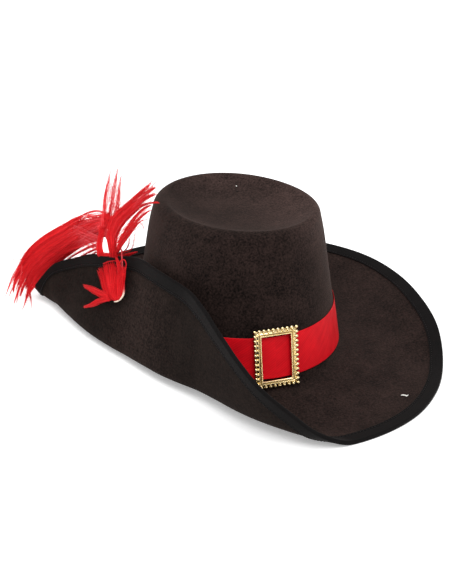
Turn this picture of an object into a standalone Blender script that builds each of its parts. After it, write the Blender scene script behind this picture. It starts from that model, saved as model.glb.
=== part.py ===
"""Cavalier hat of black flocked felt with one side of the brim turned up.

The frame is in metres with +Z up. The floor is z = 0, the front of the hat
(the buckle) faces -Y and the turned-up side of the brim is at -X.
Angles around the hat are in degrees: 0 is the front, 90 is +X, 180 the back.
"""
import math
from collections import namedtuple

import bmesh
import bpy
import numpy as np
from mathutils import Matrix, Vector

MM = 0.001

# Felt and crown
FELT = 2.0 * MM
BASE_LONG = 103.8 * MM
BASE_WIDE = 90.0 * MM
TOP_LONG = 85.3 * MM
TOP_WIDE = 71.4 * MM
CROWN_HEIGHT = 128.0 * MM
TOP_RISE_TO_LEFT = 0.028
TOP_RISE_TO_FRONT = 0.023
RIM_ROUND = 11.0 * MM
RIM_TIGHTER = 5.0 * MM
RIM_TIGHTEST_AT = 60.0
DISH_DEPTH = 12.0 * MM
DISH_STEEPNESS = 3.2
ROOT_ROUND = 2.0 * MM
ROOT_DIP = 4.0 * MM
ROOT_DIP_REACH = 45.0
ROOT_DIP_EASE = 1.3
LEAN_BACK = 3.1
CROWN_LIFT = 8.6 * MM

# Bound edge of the brim
TAPE_WIDTH = 11.0 * MM
TAPE_THICK = 0.7 * MM
TAPE_GAP = 0.3 * MM
TAPE_EASE_FROM = 0.55
TAPE_EASE_RUN = 0.3

# Band
BAND_FROM = 5.5 * MM
BAND_TO = 42.5 * MM
BAND_THICK = 1.1 * MM
BAND_GAP = 0.3 * MM
BAND_EDGE_ROLL = 0.3 * MM
BAND_EDGE = 3.0 * MM

# Buckle
BEAD_STEP = 4.15 * MM
BEADS_ACROSS = 10
BEADS_DOWN = 13
BEAD_RADIUS = 1.8 * MM
BUCKLE_CENTRE = 24.2 * MM
BUCKLE_GAP = 0.6 * MM
BEAD_RISE = 1.9 * MM
BUCKLE_OUTER_RISE = 2.2 * MM
BUCKLE_INNER_RISE = 3.4 * MM
WINDOW_WIDE = 26.1 * MM
WINDOW_HIGH = 39.0 * MM
WINDOW_LIP = 1.6 * MM
BUCKLE_OUTER_ROUND = 0.8 * MM
LIP_ROUND = 0.45 * MM

# Plume
TUFT_OFF_FELT = 6.0 * MM
TUFT_POINTS = 12
QUILL_POINTS = 8
PLUME_POINTS = 12
PLUME_STEPS = 3
PLUME_FACES = -20.0

# Sampling
COLUMNS = 84
TIP_ANGLE = -122.0
TIP_SPREAD = 24.0
TIP_EXTRA = 0.9
BRIM_ROWS = 11
DISH_RINGS = (0.35, 0.58, 0.74, 0.86, 0.95)
WALL_RINGS = (0.62, 0.32)
RIM_STEPS = 4
FOLD_TIGHTNESS = 0.80
FOLD_SWING_SHARE = 0.25

# Brim sections, one row for each angle where it leaves the crown. The fold and
# the edge give distance from the crown axis and height above the floor in
# millimetres, and the swing is how far round the edge has moved in degrees.
BrimRow = namedtuple("BrimRow", "root fold_out fold_up edge_out edge_up edge_swing")
BRIM = [
    BrimRow(-165, 150, -2, 198, 7, 0),
    BrimRow(-152, 155, -2, 197, 7, 0),
    BrimRow(-142, 170, -3, 198, 8, 0),
    BrimRow(-134, 188, -4, 199, 14, 2),
    BrimRow(-125, 186, -4, 180, 39, -7),
    BrimRow(-115, 170, -5, 153, 54, -15),
    BrimRow(-105, 151, -5, 131, 67, -20),
    BrimRow(-95, 131, -4, 108, 78, -20),
    BrimRow(-84, 114, -2, 87, 90, -14),
    BrimRow(-72, 106, 1, 84, 95, 0),
    BrimRow(-60, 106, 2, 93, 95, 13),
    BrimRow(-50, 108, 3, 114, 92, 16),
    BrimRow(-40, 112, 4, 140, 82, 15),
    BrimRow(-30, 124, 2, 161, 70, 11),
    BrimRow(-20, 143, 0, 176, 53, 7),
    BrimRow(-10, 165, 0, 184, 33, 4.5),
    BrimRow(0, 180, 0, 192, 16, 1),
    BrimRow(10, 174, 0, 196, 3, 0),
    BrimRow(30, 150, 3, 196, 3, 0),
    BrimRow(45, 150, 3, 191, 3, 0),
    BrimRow(60, 145, 3, 185, 5, 0),
    BrimRow(75, 140, 3, 181, 15, 0),
    BrimRow(90, 135, 4, 179, 20, 0),
    BrimRow(105, 140, 4, 183, 21, 0),
    BrimRow(120, 145, 4, 189, 20, 0),
    BrimRow(135, 145, 4, 190, 19, 0),
    BrimRow(150, 148, 4, 193, 16, 0),
    BrimRow(165, 150, 0, 196, 12, 0),
    BrimRow(180, 150, -2, 197, 9, 0),
]

# Path of the quill up the outside of the turned-up brim and over its edge: angle,
# how far along the brim section, and in millimetres how far beyond that point and
# how far off the upper face. Inside the crown side counts as positive.
QuillRow = namedtuple("QuillRow", "root along beyond off")
QUILL_ON_BRIM = [
    QuillRow(-90.5, 0.775, 0, -4.7),
    QuillRow(-89.0, 0.80, 0, -4.7),
    QuillRow(-87.6, 0.85, 0, -4.7),
    QuillRow(-87.5, 0.90, 0, -4.7),
    QuillRow(-88.8, 0.96, 0, -4.7),
    QuillRow(-90.5, 1.0, 3.0, -4.3),
    QuillRow(-90.5, 1.0, 4.3, -1.0),
]
QUILL_HALF = 1.3

# Plume pieces in millimetres: centre of each section, half its width and half its thickness.
PlumeRow = namedtuple("PlumeRow", "x y z wide thick")
QUILL_FREE = [
    PlumeRow(-97.6, 40.5, 88.0, 1.3, 1.3),
    PlumeRow(-98.9, 48.5, 91.0, 1.2, 1.2),
    PlumeRow(-100.0, 55.0, 95.0, 1.1, 1.1),
    PlumeRow(-101.5, 61.8, 99.2, 1.0, 1.0),
]
VANE = [
    PlumeRow(-101.8, 62.8, 99.8, 1.2, 1.2),
    PlumeRow(-103, 69, 99, 7, 3),
    PlumeRow(-105, 78, 95, 11, 3.5),
    PlumeRow(-111, 99, 84, 14, 3.5),
    PlumeRow(-121, 118, 68, 15, 3.5),
    PlumeRow(-134, 134, 51, 15, 3.5),
    PlumeRow(-148, 140, 35, 14, 3.5),
    PlumeRow(-159, 138, 22, 12, 3.5),
    PlumeRow(-167, 132, 12, 8, 3),
    PlumeRow(-171, 129, 6, 3, 1.5),
]
SPRAY = [
    PlumeRow(-98.8, 47.6, 92.7, 1.2, 1.2),
    PlumeRow(-97, 42, 108, 4, 3),
    PlumeRow(-94, 30, 130, 8, 4),
    PlumeRow(-87, 13, 149, 12, 4),
    PlumeRow(-80, -4, 165, 8, 3),
    PlumeRow(-77, -12, 171, 2, 1),
]
CREST = [
    PlumeRow(-99.9, 55.6, 98.0, 1.2, 1.2),
    PlumeRow(-99, 55.5, 110, 4, 2.5),
    PlumeRow(-99, 55, 121, 7, 3),
    PlumeRow(-97, 50, 140, 4, 2),
    PlumeRow(-94, 47, 162, 1, 1),
]

# Tuft on the outside of the turned-up brim: how far along the brim section, the
# angles it reaches from and to, and its thickness in millimetres.
TuftRow = namedtuple("TuftRow", "along from_root to_root thick")
TUFT = [
    TuftRow(0.785, -92.0, -90.0, 2.0),
    TuftRow(0.82, -96.5, -88.5, 4.5),
    TuftRow(0.86, -98.5, -87.5, 6.0),
    TuftRow(0.92, -101.5, -87.5, 6.5),
    TuftRow(0.97, -101.0, -88.0, 5.0),
    TuftRow(0.995, -99.5, -89.0, 2.5),
]


def brim_value(column, angle):
    """Smooth curve round the hat through one column of the brim table."""
    xs = [row.root for row in BRIM]
    ys = [getattr(row, column) for row in BRIM]
    xs = [x - 360 for x in xs[-2:]] + xs + [x + 360 for x in xs[:2]]
    ys = ys[-2:] + ys + ys[:2]
    at = (angle - xs[1]) % 360 + xs[1]
    i = max(k for k in range(1, len(xs) - 2) if xs[k] <= at)
    first_slope = (ys[i + 1] - ys[i - 1]) / (xs[i + 1] - xs[i - 1])
    second_slope = (ys[i + 2] - ys[i]) / (xs[i + 2] - xs[i])
    run = xs[i + 1] - xs[i]
    u = (at - xs[i]) / run
    between = (1 + 2 * u) * (1 - u) ** 2 * ys[i] + u * u * (3 - 2 * u) * ys[i + 1]
    bend = u * (1 - u) ** 2 * first_slope - u * u * (1 - u) * second_slope
    return between + bend * run


def around(angle, distance, height):
    """Point at an angle round the hat in degrees, at a distance from the axis."""
    turn = math.radians(angle)
    return Vector((distance * math.sin(turn), -distance * math.cos(turn), height))


def oval(angle, long, wide):
    """Radius of an oval at an angle round the hat."""
    turn = math.radians(angle)
    return 1.0 / math.hypot(math.sin(turn) / wide, math.cos(turn) / long)


CROWN_PLACE = Matrix.Translation((0, 0, CROWN_LIFT)) @ Matrix.Rotation(-math.radians(LEAN_BACK), 4, "X")


def wall_point(angle, height, out=0.0):
    """Point on the outside of the crown wall, moved straight out by a distance."""
    share = height / CROWN_HEIGHT
    long = BASE_LONG + (TOP_LONG - BASE_LONG) * share + out
    wide = BASE_WIDE + (TOP_WIDE - BASE_WIDE) * share + out
    return CROWN_PLACE @ around(angle, oval(angle, long, wide), height)


def rim_round(angle):
    """Radius of the rounded top edge, tighter on the front right."""
    near = max(0.0, math.cos(math.radians(angle - RIM_TIGHTEST_AT)))
    return RIM_ROUND - RIM_TIGHTER * near * near


def top_point(angle, inset, height, share=1.0):
    """Point on the crown's top or rounded rim, inset from the outline of the wall."""
    radius = oval(angle, TOP_LONG - inset, TOP_WIDE - inset) * share
    point = around(angle, radius, height)
    point.z -= TOP_RISE_TO_LEFT * point.x + TOP_RISE_TO_FRONT * point.y
    return CROWN_PLACE @ point


def smoothstep(value):
    """Ease from 0 to 1 as the value goes from 0 to 1."""
    value = min(max(value, 0.0), 1.0)
    return value * value * (3 - 2 * value)


def root_height(angle):
    """Height where the brim leaves the crown, lower at the front under the buckle."""
    off = abs((angle + 180.0) % 360.0 - 180.0)
    return -ROOT_DIP * smoothstep(ROOT_DIP_EASE - off / ROOT_DIP_REACH)


def brim_point(angle, along):
    """Point on the upper face of the brim; along runs from 0 at the crown to 1 at the edge."""
    row = {name: brim_value(name, angle) for name in BrimRow._fields[1:]}
    start = wall_point(angle, root_height(angle), ROOT_ROUND)
    fold = around(angle + row["edge_swing"] * FOLD_SWING_SHARE, row["fold_out"] * MM, row["fold_up"] * MM)
    edge = around(angle + row["edge_swing"], row["edge_out"] * MM, row["edge_up"] * MM)
    first = start.lerp(fold, FOLD_TIGHTNESS)
    second = edge.lerp(fold, FOLD_TIGHTNESS)
    t = along
    s = 1 - t
    point = start * s ** 3 + first * 3 * s * s * t + second * 3 * s * t * t + edge * t ** 3
    tape = (TAPE_GAP + TAPE_THICK) * smoothstep((along - TAPE_EASE_FROM) / TAPE_EASE_RUN)
    point.z = max(point.z, FELT + tape)
    return point


def brim_frame(angle, along):
    """Point, outward direction along the section and upper-face normal of the brim."""
    step = 0.01
    point = brim_point(angle, along)
    out = (brim_point(angle, along) - brim_point(angle, along - step)).normalized()
    side = (brim_point(angle + 1, along) - brim_point(angle - 1, along)).normalized()
    return point, out, out.cross(side).normalized()


def material(name, colour, roughness, metallic=0.0):
    """Principled material from an sRGB colour written as 0 to 255."""
    mat = bpy.data.materials.new(name)
    mat.use_nodes = True
    shader = mat.node_tree.nodes["Principled BSDF"]
    linear = [((c / 255 + 0.055) / 1.055) ** 2.4 if c > 10 else c / 255 / 12.92 for c in colour]
    shader.inputs["Base Color"].default_value = (*linear, 1.0)
    shader.inputs["Roughness"].default_value = roughness
    shader.inputs["Metallic"].default_value = metallic
    mat.diffuse_color = (*linear, 1.0)
    mat.roughness = roughness
    mat.metallic = metallic
    return mat


def finish(name, bm, mat, sharp=40.0):
    """Object from a bmesh, with its material and smooth shading between sharp edges."""
    mesh = bpy.data.meshes.new(name)
    bm.to_mesh(mesh)
    bm.free()
    mesh.materials.append(mat)
    mesh.shade_smooth()
    mesh.set_sharp_from_angle(angle=math.radians(sharp))
    obj = bpy.data.objects.new(name, mesh)
    bpy.context.scene.collection.objects.link(obj)
    return obj


def skin(bm, rings, closed=False, turned=()):
    """Triangles between rings of points; closed also joins the last ring to the first.

    The strips numbered in turned are split along their other diagonal."""
    rows = [[bm.verts.new(p) for p in ring] for ring in rings]
    pairs = list(zip(rows, rows[1:]))
    if closed:
        pairs.append((rows[-1], rows[0]))
    for number, (low, high) in enumerate(pairs):
        for i in range(len(low)):
            j = (i + 1) % len(low)
            if number in turned:
                bm.faces.new((low[i], high[i], low[j]))
                bm.faces.new((high[i], high[j], low[j]))
            else:
                bm.faces.new((low[i], high[i], high[j]))
                bm.faces.new((low[i], high[j], low[j]))
    return rows


def column_angles():
    """Angles of the columns, set closer together near the tip of the turned-up side."""
    steps = 1440
    total = [0.0]
    for k in range(steps):
        off = (k + 0.5) * 360.0 / steps - 360.0 - TIP_ANGLE
        off = (off + 180.0) % 360.0 - 180.0
        total.append(total[-1] + 1.0 + TIP_EXTRA * math.exp(-((off / TIP_SPREAD) ** 2)))
    wanted = [total[-1] * i / COLUMNS for i in range(COLUMNS)]
    return [float(a) for a in np.interp(wanted, total, np.linspace(-360.0, 0.0, steps + 1))]


def tape_start(angle):
    """How far along the brim section the bound edge begins."""
    steps = 60
    left = TAPE_WIDTH
    last = brim_point(angle, 1.0)
    for k in range(steps - 1, 0, -1):
        point = brim_point(angle, k / steps)
        piece = (point - last).length
        if piece >= left:
            return (k + 1 - left / piece) / steps
        left -= piece
        last = point
    return 0.5


def hat_body(mat):
    """Crown and brim in one felt shell, and the ring of points where the bound edge begins."""
    angles = column_angles()
    rings = []
    for share in DISH_RINGS:
        height = CROWN_HEIGHT - DISH_DEPTH * (1 - share ** DISH_STEEPNESS)
        rings.append([top_point(a, rim_round(a), height, share) for a in angles])
    for k in range(RIM_STEPS + 1):
        turn = math.radians(90 - 90 * k / RIM_STEPS)
        inward = 1 - math.cos(turn)
        down = 1 - math.sin(turn)
        rings.append([
            top_point(a, rim_round(a) * inward, CROWN_HEIGHT - rim_round(a) * down) for a in angles
        ])
    for share in WALL_RINGS:
        rings.append([wall_point(a, share * CROWN_HEIGHT) for a in angles])
    for rise, out in ((1.0, 0.0), (0.3, 0.3)):
        rings.append([wall_point(a, root_height(a) + rise * ROOT_ROUND, out * ROOT_ROUND) for a in angles])
    starts = [tape_start(a) for a in angles]
    tape_ring = len(rings) + BRIM_ROWS
    for k in range(BRIM_ROWS + 1):
        rings.append([brim_point(a, s * k / BRIM_ROWS) for a, s in zip(angles, starts)])
    rings.append([brim_point(a, 1.0) for a in angles])
    bm = bmesh.new()
    rows = skin(bm, rings)
    pole = bm.verts.new(sum(rings[0], Vector()) / COLUMNS)
    for i in range(COLUMNS):
        bm.faces.new((pole, rows[0][i], rows[0][(i + 1) % COLUMNS]))
    obj = finish("hat_body", bm, mat, 60)
    shell = obj.modifiers.new("felt thickness", "SOLIDIFY")
    shell.thickness = FELT
    shell.offset = -1.0
    shell.use_even_offset = True
    return obj, tape_ring


def brim_binding(mat, hat, tape_ring):
    """Tape folded over the edge of the finished brim, a small gap off the felt."""
    shell = hat.evaluated_get(bpy.context.evaluated_depsgraph_get()).to_mesh()
    surface = hat.data
    count = len(surface.vertices)
    first = tape_ring * COLUMNS
    last = first + COLUMNS
    near = TAPE_GAP
    far = TAPE_GAP + TAPE_THICK
    sections = []
    for i in range(COLUMNS):
        start = surface.vertices[first + i].co
        edge = surface.vertices[last + i].co
        start_under = shell.vertices[count + first + i].co
        edge_under = shell.vertices[count + last + i].co
        start_up = (start - start_under).normalized()
        up = (edge - edge_under).normalized()
        out = edge - start
        out = (out - up * out.dot(up)).normalized()
        loop = [
            start + start_up * near,
            start + start_up * far,
            edge + up * far,
            edge + out * (far * 0.8) + up * (far * 0.4),
            edge.lerp(edge_under, 0.5) + out * far,
            edge_under + out * (far * 0.8) - up * (far * 0.4),
            edge_under - up * far,
            start_under - start_up * far,
            start_under - start_up * near,
            edge_under + out * near - up * near,
            edge + out * near + up * near,
        ]
        for point in loop:
            point.z = max(point.z, 0.0)
        sections.append(loop)
    bm = bmesh.new()
    rings = [[section[k] for section in sections] for k in range(len(sections[0]))]
    skin(bm, rings, closed=True, turned=(6, 10))
    bmesh.ops.recalc_face_normals(bm, faces=bm.faces)
    return finish("brim_binding", bm, mat, 60)


def hat_band(mat):
    """Ribbon round the foot of the crown, a little thicker at both edges."""
    inner = BAND_GAP
    outer = BAND_GAP + BAND_THICK
    roll = outer + BAND_EDGE_ROLL
    profile = [
        (BAND_FROM, inner),
        (BAND_FROM, roll),
        (BAND_FROM + BAND_EDGE / 2, roll),
        (BAND_FROM + BAND_EDGE, outer),
        (BAND_TO - BAND_EDGE, outer),
        (BAND_TO - BAND_EDGE / 2, roll),
        (BAND_TO, roll),
        (BAND_TO, inner),
    ]
    bm = bmesh.new()
    skin(bm, [[wall_point(a, h, o) for a in column_angles()] for h, o in profile], closed=True)
    bmesh.ops.recalc_face_normals(bm, faces=bm.faces)
    return finish("hat_band", bm, mat, 50)


def buckle(mat):
    """Rectangular frame with a sloping band, a lip round its window and a border of beads."""
    half_across = BEAD_STEP * (BEADS_ACROSS - 1) / 2
    half_down = BEAD_STEP * (BEADS_DOWN - 1) / 2
    window = half_across - WINDOW_WIDE / 2
    profile = [
        (0.0, 0.0),
        (0.0, BUCKLE_OUTER_RISE * 0.7),
        (BUCKLE_OUTER_ROUND, BUCKLE_OUTER_RISE),
        (window - WINDOW_LIP, BUCKLE_INNER_RISE - LIP_ROUND),
        (window - WINDOW_LIP + LIP_ROUND, BUCKLE_INNER_RISE),
        (window - LIP_ROUND, BUCKLE_INNER_RISE),
        (window, BUCKLE_INNER_RISE - LIP_ROUND),
        (window, 0.0),
    ]
    loops = []
    for inset, rise in profile:
        across = half_across - inset
        down = half_down - inset * (half_down - WINDOW_HIGH / 2) / window
        loops.append([Vector((u * across, v * down, rise)) for u, v in ((-1, -1), (1, -1), (1, 1), (-1, 1))])
    bm = bmesh.new()
    skin(bm, loops, closed=True)
    bmesh.ops.recalc_face_normals(bm, faces=bm.faces)
    frame = finish("buckle", bm, mat, 30)
    spots = [(-half_across + BEAD_STEP * i, s * half_down) for i in range(BEADS_ACROSS) for s in (-1, 1)]
    spots += [(s * half_across, -half_down + BEAD_STEP * i) for i in range(1, BEADS_DOWN - 1) for s in (-1, 1)]
    bm = bmesh.new()
    for u, v in spots:
        place = Matrix.Translation((u, v, BEAD_RISE))
        bmesh.ops.create_uvsphere(bm, u_segments=8, v_segments=5, radius=BEAD_RADIUS, matrix=place)
    beads = finish("buckle bead guides", bm, mat)
    beads.hide_render = True
    beads.display_type = "WIRE"
    join = frame.modifiers.new("beads", "BOOLEAN")
    join.operation = "UNION"
    join.solver = "EXACT"
    join.object = beads
    slope = math.atan((BASE_LONG - TOP_LONG) / CROWN_HEIGHT)
    radius = BASE_LONG + (TOP_LONG - BASE_LONG) * BUCKLE_CENTRE / CROWN_HEIGHT
    place = Matrix.Translation((0, -(radius + BUCKLE_GAP), BUCKLE_CENTRE))
    turn = Matrix.Rotation(math.radians(90) - slope, 4, "X")
    for obj in (frame, beads):
        obj.matrix_world = CROWN_PLACE @ place @ turn
    return frame


def follow(rows, steps):
    """Rows filled in smoothly, with a number of steps between each pair."""
    path = []
    names = rows[0]._fields
    count = len(rows)
    for i in range(count - 1):
        for k in range(steps):
            u = k / steps
            values = []
            for name in names:
                a, b, c, d = (getattr(rows[min(max(i + j, 0), count - 1)], name) for j in (-1, 0, 1, 2))
                bend = (2 * a - 5 * b + 4 * c - d) * u * u + (3 * b - 3 * c + d - a) * u ** 3
                values.append(b + 0.5 * ((c - a) * u + bend))
            path.append(type(rows[0])(*values))
    path.append(rows[-1])
    return path


def plume_piece(name, rows, mat, points=PLUME_POINTS):
    """Closed flattened tube along the rows of a plume table."""
    facing = around(PLUME_FACES, 1.0, 0.0)
    centres = [Vector((row.x, row.y, row.z)) * MM for row in rows]
    rings = []
    for i, row in enumerate(rows):
        ahead = centres[min(i + 1, len(rows) - 1)] - centres[max(i - 1, 0)]
        broad = ahead.cross(facing).normalized()
        thin = broad.cross(ahead).normalized()
        ring = []
        for k in range(points):
            turn = 2 * math.pi * k / points
            ring.append(centres[i] + (broad * row.wide * math.cos(turn) + thin * row.thick * math.sin(turn)) * MM)
        rings.append(ring)
    bm = bmesh.new()
    loops = skin(bm, rings)
    bm.faces.new(loops[0])
    bm.faces.new(loops[-1])
    bmesh.ops.recalc_face_normals(bm, faces=bm.faces)
    return finish(name, bm, mat, 50)


def quill_rows():
    """Path of the quill: up the outside of the brim, over the bound edge, then free."""
    rows = []
    for spot in QUILL_ON_BRIM:
        point, out, up = brim_frame(spot.root, spot.along)
        point = point / MM + out * spot.beyond + up * spot.off
        rows.append(PlumeRow(point.x, point.y, point.z, QUILL_HALF, QUILL_HALF))
    return follow(rows + QUILL_FREE, 2)


def plume_tuft(mat):
    """Fan of barbs lying on the outside of the turned-up brim."""
    rings = []
    for row in follow(TUFT, 2):
        ring = []
        for k in range(TUFT_POINTS):
            turn = 2 * math.pi * k / TUFT_POINTS
            share = 0.5 - 0.5 * math.cos(turn)
            angle = row.from_root + (row.to_root - row.from_root) * share
            point, out, up = brim_frame(angle, row.along)
            off = TUFT_OFF_FELT + row.thick * MM * (0.5 + 0.5 * math.sin(turn))
            ring.append(point - up * off)
        rings.append(ring)
    bm = bmesh.new()
    loops = skin(bm, rings)
    bm.faces.new(loops[0])
    bm.faces.new(loops[-1])
    bmesh.ops.recalc_face_normals(bm, faces=bm.faces)
    return finish("plume_tuft", bm, mat, 50)


def main():
    """Clear the scene, then make every material and piece."""
    for obj in list(bpy.data.objects):
        bpy.data.objects.remove(obj, do_unlink=True)
    felt = material("black flocked felt", (46, 37, 35), 0.9)
    tape = material("black velvet tape", (30, 28, 29), 0.85)
    red = material("red ribbon", (196, 22, 30), 0.6)
    gold = material("gold plate", (222, 186, 96), 0.3, 1.0)
    plume = material("red plume", (204, 24, 32), 0.8)
    horn = material("pale quill", (226, 206, 178), 0.5)
    hat, tape_ring = hat_body(felt)
    brim_binding(tape, hat, tape_ring)
    hat_band(red)
    buckle(gold)
    plume_piece("plume_quill", quill_rows(), horn, QUILL_POINTS)
    plume_piece("plume_vane", follow(VANE, PLUME_STEPS), plume)
    plume_piece("plume_spray", follow(SPRAY, PLUME_STEPS), plume)
    plume_piece("plume_crest", follow(CREST, PLUME_STEPS), plume)
    plume_tuft(plume)


main()
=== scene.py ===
"""Cavalier hat: flocked felt, bound edge, ribbon band, gilt buckle and a loose red plume."""

import math
import random
from collections import namedtuple
from functools import lru_cache

import bmesh
import bpy
import numpy as np
from mathutils import Matrix, Vector, noise


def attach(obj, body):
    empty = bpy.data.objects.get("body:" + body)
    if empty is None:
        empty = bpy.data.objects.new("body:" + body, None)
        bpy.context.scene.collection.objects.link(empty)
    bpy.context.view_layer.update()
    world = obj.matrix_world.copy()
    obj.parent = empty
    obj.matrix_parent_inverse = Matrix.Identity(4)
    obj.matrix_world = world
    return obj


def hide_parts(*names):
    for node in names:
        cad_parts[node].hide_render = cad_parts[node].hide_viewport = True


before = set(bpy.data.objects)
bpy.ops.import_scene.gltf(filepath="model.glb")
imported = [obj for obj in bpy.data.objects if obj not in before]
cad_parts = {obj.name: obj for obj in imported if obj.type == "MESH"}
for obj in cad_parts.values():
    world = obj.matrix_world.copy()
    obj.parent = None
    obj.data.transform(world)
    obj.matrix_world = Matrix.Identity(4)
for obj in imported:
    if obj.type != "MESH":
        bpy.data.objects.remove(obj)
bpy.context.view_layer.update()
MM = 0.001

# Camera: place in metres, angles in degrees, and the focal length and the sensor's long side in
# millimetres.
CAMERA_PLACE = Vector((-0.55142, -1.48585, 0.86282))
CAMERA_TURN = -20.0265
CAMERA_HEIGHT = 27.1299
CAMERA_ROLL = 1.4751
CAMERA_LENS = 124.34
SENSOR = 36.0

# The photograph's frame in pixels.
PICTURE_WIDE = 452
PICTURE_HIGH = 584

# Strength of the white surroundings, and of the light that the floor gives of its own to keep
# the shadow pale.
SURROUNDINGS = 0.85
FLOOR_GLOW = 0.3
LIGHTS_AIM = (0, 0, 0.05)

# Crown wall, as half-lengths and half-widths of its oval at the foot and at the top.
FELT = 2.0 * MM
BASE_LONG = 103.8 * MM
BASE_WIDE = 90.0 * MM
TOP_LONG = 85.3 * MM
TOP_WIDE = 71.4 * MM
CROWN_HEIGHT = 128.0 * MM
TOP_RISE_TO_LEFT = 0.028
TOP_RISE_TO_FRONT = 0.023
RIM_ROUND = 11.0 * MM
RIM_TIGHTER = 5.0 * MM
RIM_TIGHTEST_AT = 60.0
DISH_DEPTH = 12.0 * MM
DISH_STEEPNESS = 3.2
ROOT_ROUND = 2.0 * MM
ROOT_DIP = 4.0 * MM
ROOT_DIP_REACH = 45.0
ROOT_DIP_EASE = 1.3
LEAN_BACK = 3.1
CROWN_LIFT = 8.6 * MM
CROWN_PLACE = Matrix.Translation((0, 0, CROWN_LIFT)) @ Matrix.Rotation(-math.radians(LEAN_BACK), 4, "X")

# Small marks, as places in the photograph in pixels with a height in millimetres: the lint's path
# over the brim, with its radius at each point, and on the crown's top a pale speck and its painted shadow.
Mark = namedtuple("Mark", "across down height")
FLECK = [
    Mark(401.0, 395.3, 3.6), Mark(402.9, 395.1, 3.6), Mark(404.8, 395.3, 3.6), Mark(406.6, 396.1, 3.5),
    Mark(408.3, 394.9, 3.5),
]
FLECK_RADII = (0.35, 0.6, 0.55, 0.65, 0.3)
PALE_SPECK = Mark(236.4, 186.0, 125.5)
PALE_SPECK_RADIUS = 0.6
# Painted shadow of the pale speck.
SPECK_SHADOW = Mark(237.0, 191.3, 124.0)
SPECK_SHADOW_RADIUS = 0.7
SPECK_SHAPE = (1.0, 1.5, 0.35, 1.0)

# Columns and rings of the felt before it is rounded.
COLUMNS = 168
TAPE_ANGLES = [k * 360.0 / 252 for k in range(252)]
TIP_ANGLE = -122.0
TIP_SPREAD = 24.0
TIP_EXTRA = 0.9
DISH_RINGS = (0.04, 0.12, 0.2, 0.28, 0.36, 0.44, 0.52, 0.6, 0.67, 0.74, 0.8, 0.86, 0.91, 0.95, 0.98)
RIM_STEPS = 6
WALL_RINGS = (0.84, 0.7, 0.56, 0.42, 0.28, 0.14)
BRIM_ROWS = 18
FOLD_TIGHTNESS = 0.80
FOLD_SWING_SHARE = 0.25

# Rings at the foot of the wall, as shares of the round there: how high and how far out.
FOOT_RINGS = ((2.6, 0.0), (1.0, 0.0), (0.3, 0.3))

# Bound edge and its stitching.
TAPE_GAP = 0.3 * MM
TAPE_THICK = 0.7 * MM
TAPE_FAR = TAPE_GAP + TAPE_THICK
TAPE_WIDTH = 11.0 * MM
TAPE_EASE_FROM = 0.55
TAPE_EASE_RUN = 0.3
STITCH_STEP = 3.2 * MM
STITCH_LONG = 2.3 * MM
STITCH_RADIUS = 0.26 * MM
STITCH_AT = 0.17
STITCH_SUNK = 0.02 * MM
STITCH_RISE = 0.28 * MM

# Ribbon round the foot of the crown.
BAND_FROM = 5.5 * MM
BAND_TO = 42.5 * MM
BAND_GAP = 0.3 * MM
BAND_THICK = 1.0 * MM
BAND_EDGE = 1.3 * MM
BAND_ROLL = 0.55 * MM
BAND_COLUMNS = 288
BAND_ROWS = 26
BAND_MAP_RADIUS = 94.0 * MM
BAND_FULLNESS = 0.75

# Slack creases and finer ripples of the ribbon: how many turn round it, how fast they change
# across it and how deep they are.
CREASE_TURNS = 3.4
CREASE_ACROSS = 0.9
CREASE_SLANT = 1.4
CREASE_DEEP = 0.4 * MM
RIPPLE_TURNS = 11.0
RIPPLE_ACROSS = 2.2
RIPPLE_DEEP = 0.16 * MM
EDGE_HOLD = 0.6

# Buckle on the front of the band.
BEAD_STEP = 4.15 * MM
BEADS_ACROSS = 10
BEADS_DOWN = 13
BEAD_RADIUS = 1.6 * MM
BEAD_RISE = 1.9 * MM
SEED_RADIUS = 0.95 * MM
SEED_IN = 1.5 * MM
SEED_RISE = 2.75 * MM
MILL_STEP = 1.15 * MM
MILL_RADIUS = 0.5 * MM
MILL_IN = 0.75 * MM
MILL_RISE = 3.3 * MM
OUTER_MILL_RADIUS = 0.45 * MM
OUTER_MILL_IN = 2.85 * MM
OUTER_MILL_RISE = 3.15 * MM
# Painted shade in the casting's recesses: it begins below this height and is full this far further down.
RECESS_TOP = 2.6 * MM
RECESS_DEEP = 1.4 * MM
BUCKLE_EDGE = 0.12 * MM
WINDOW_WIDE = 26.1 * MM
WINDOW_HIGH = 39.0 * MM
BUCKLE_CENTRE = 24.2 * MM
BUCKLE_GAP = 0.6 * MM

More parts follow.
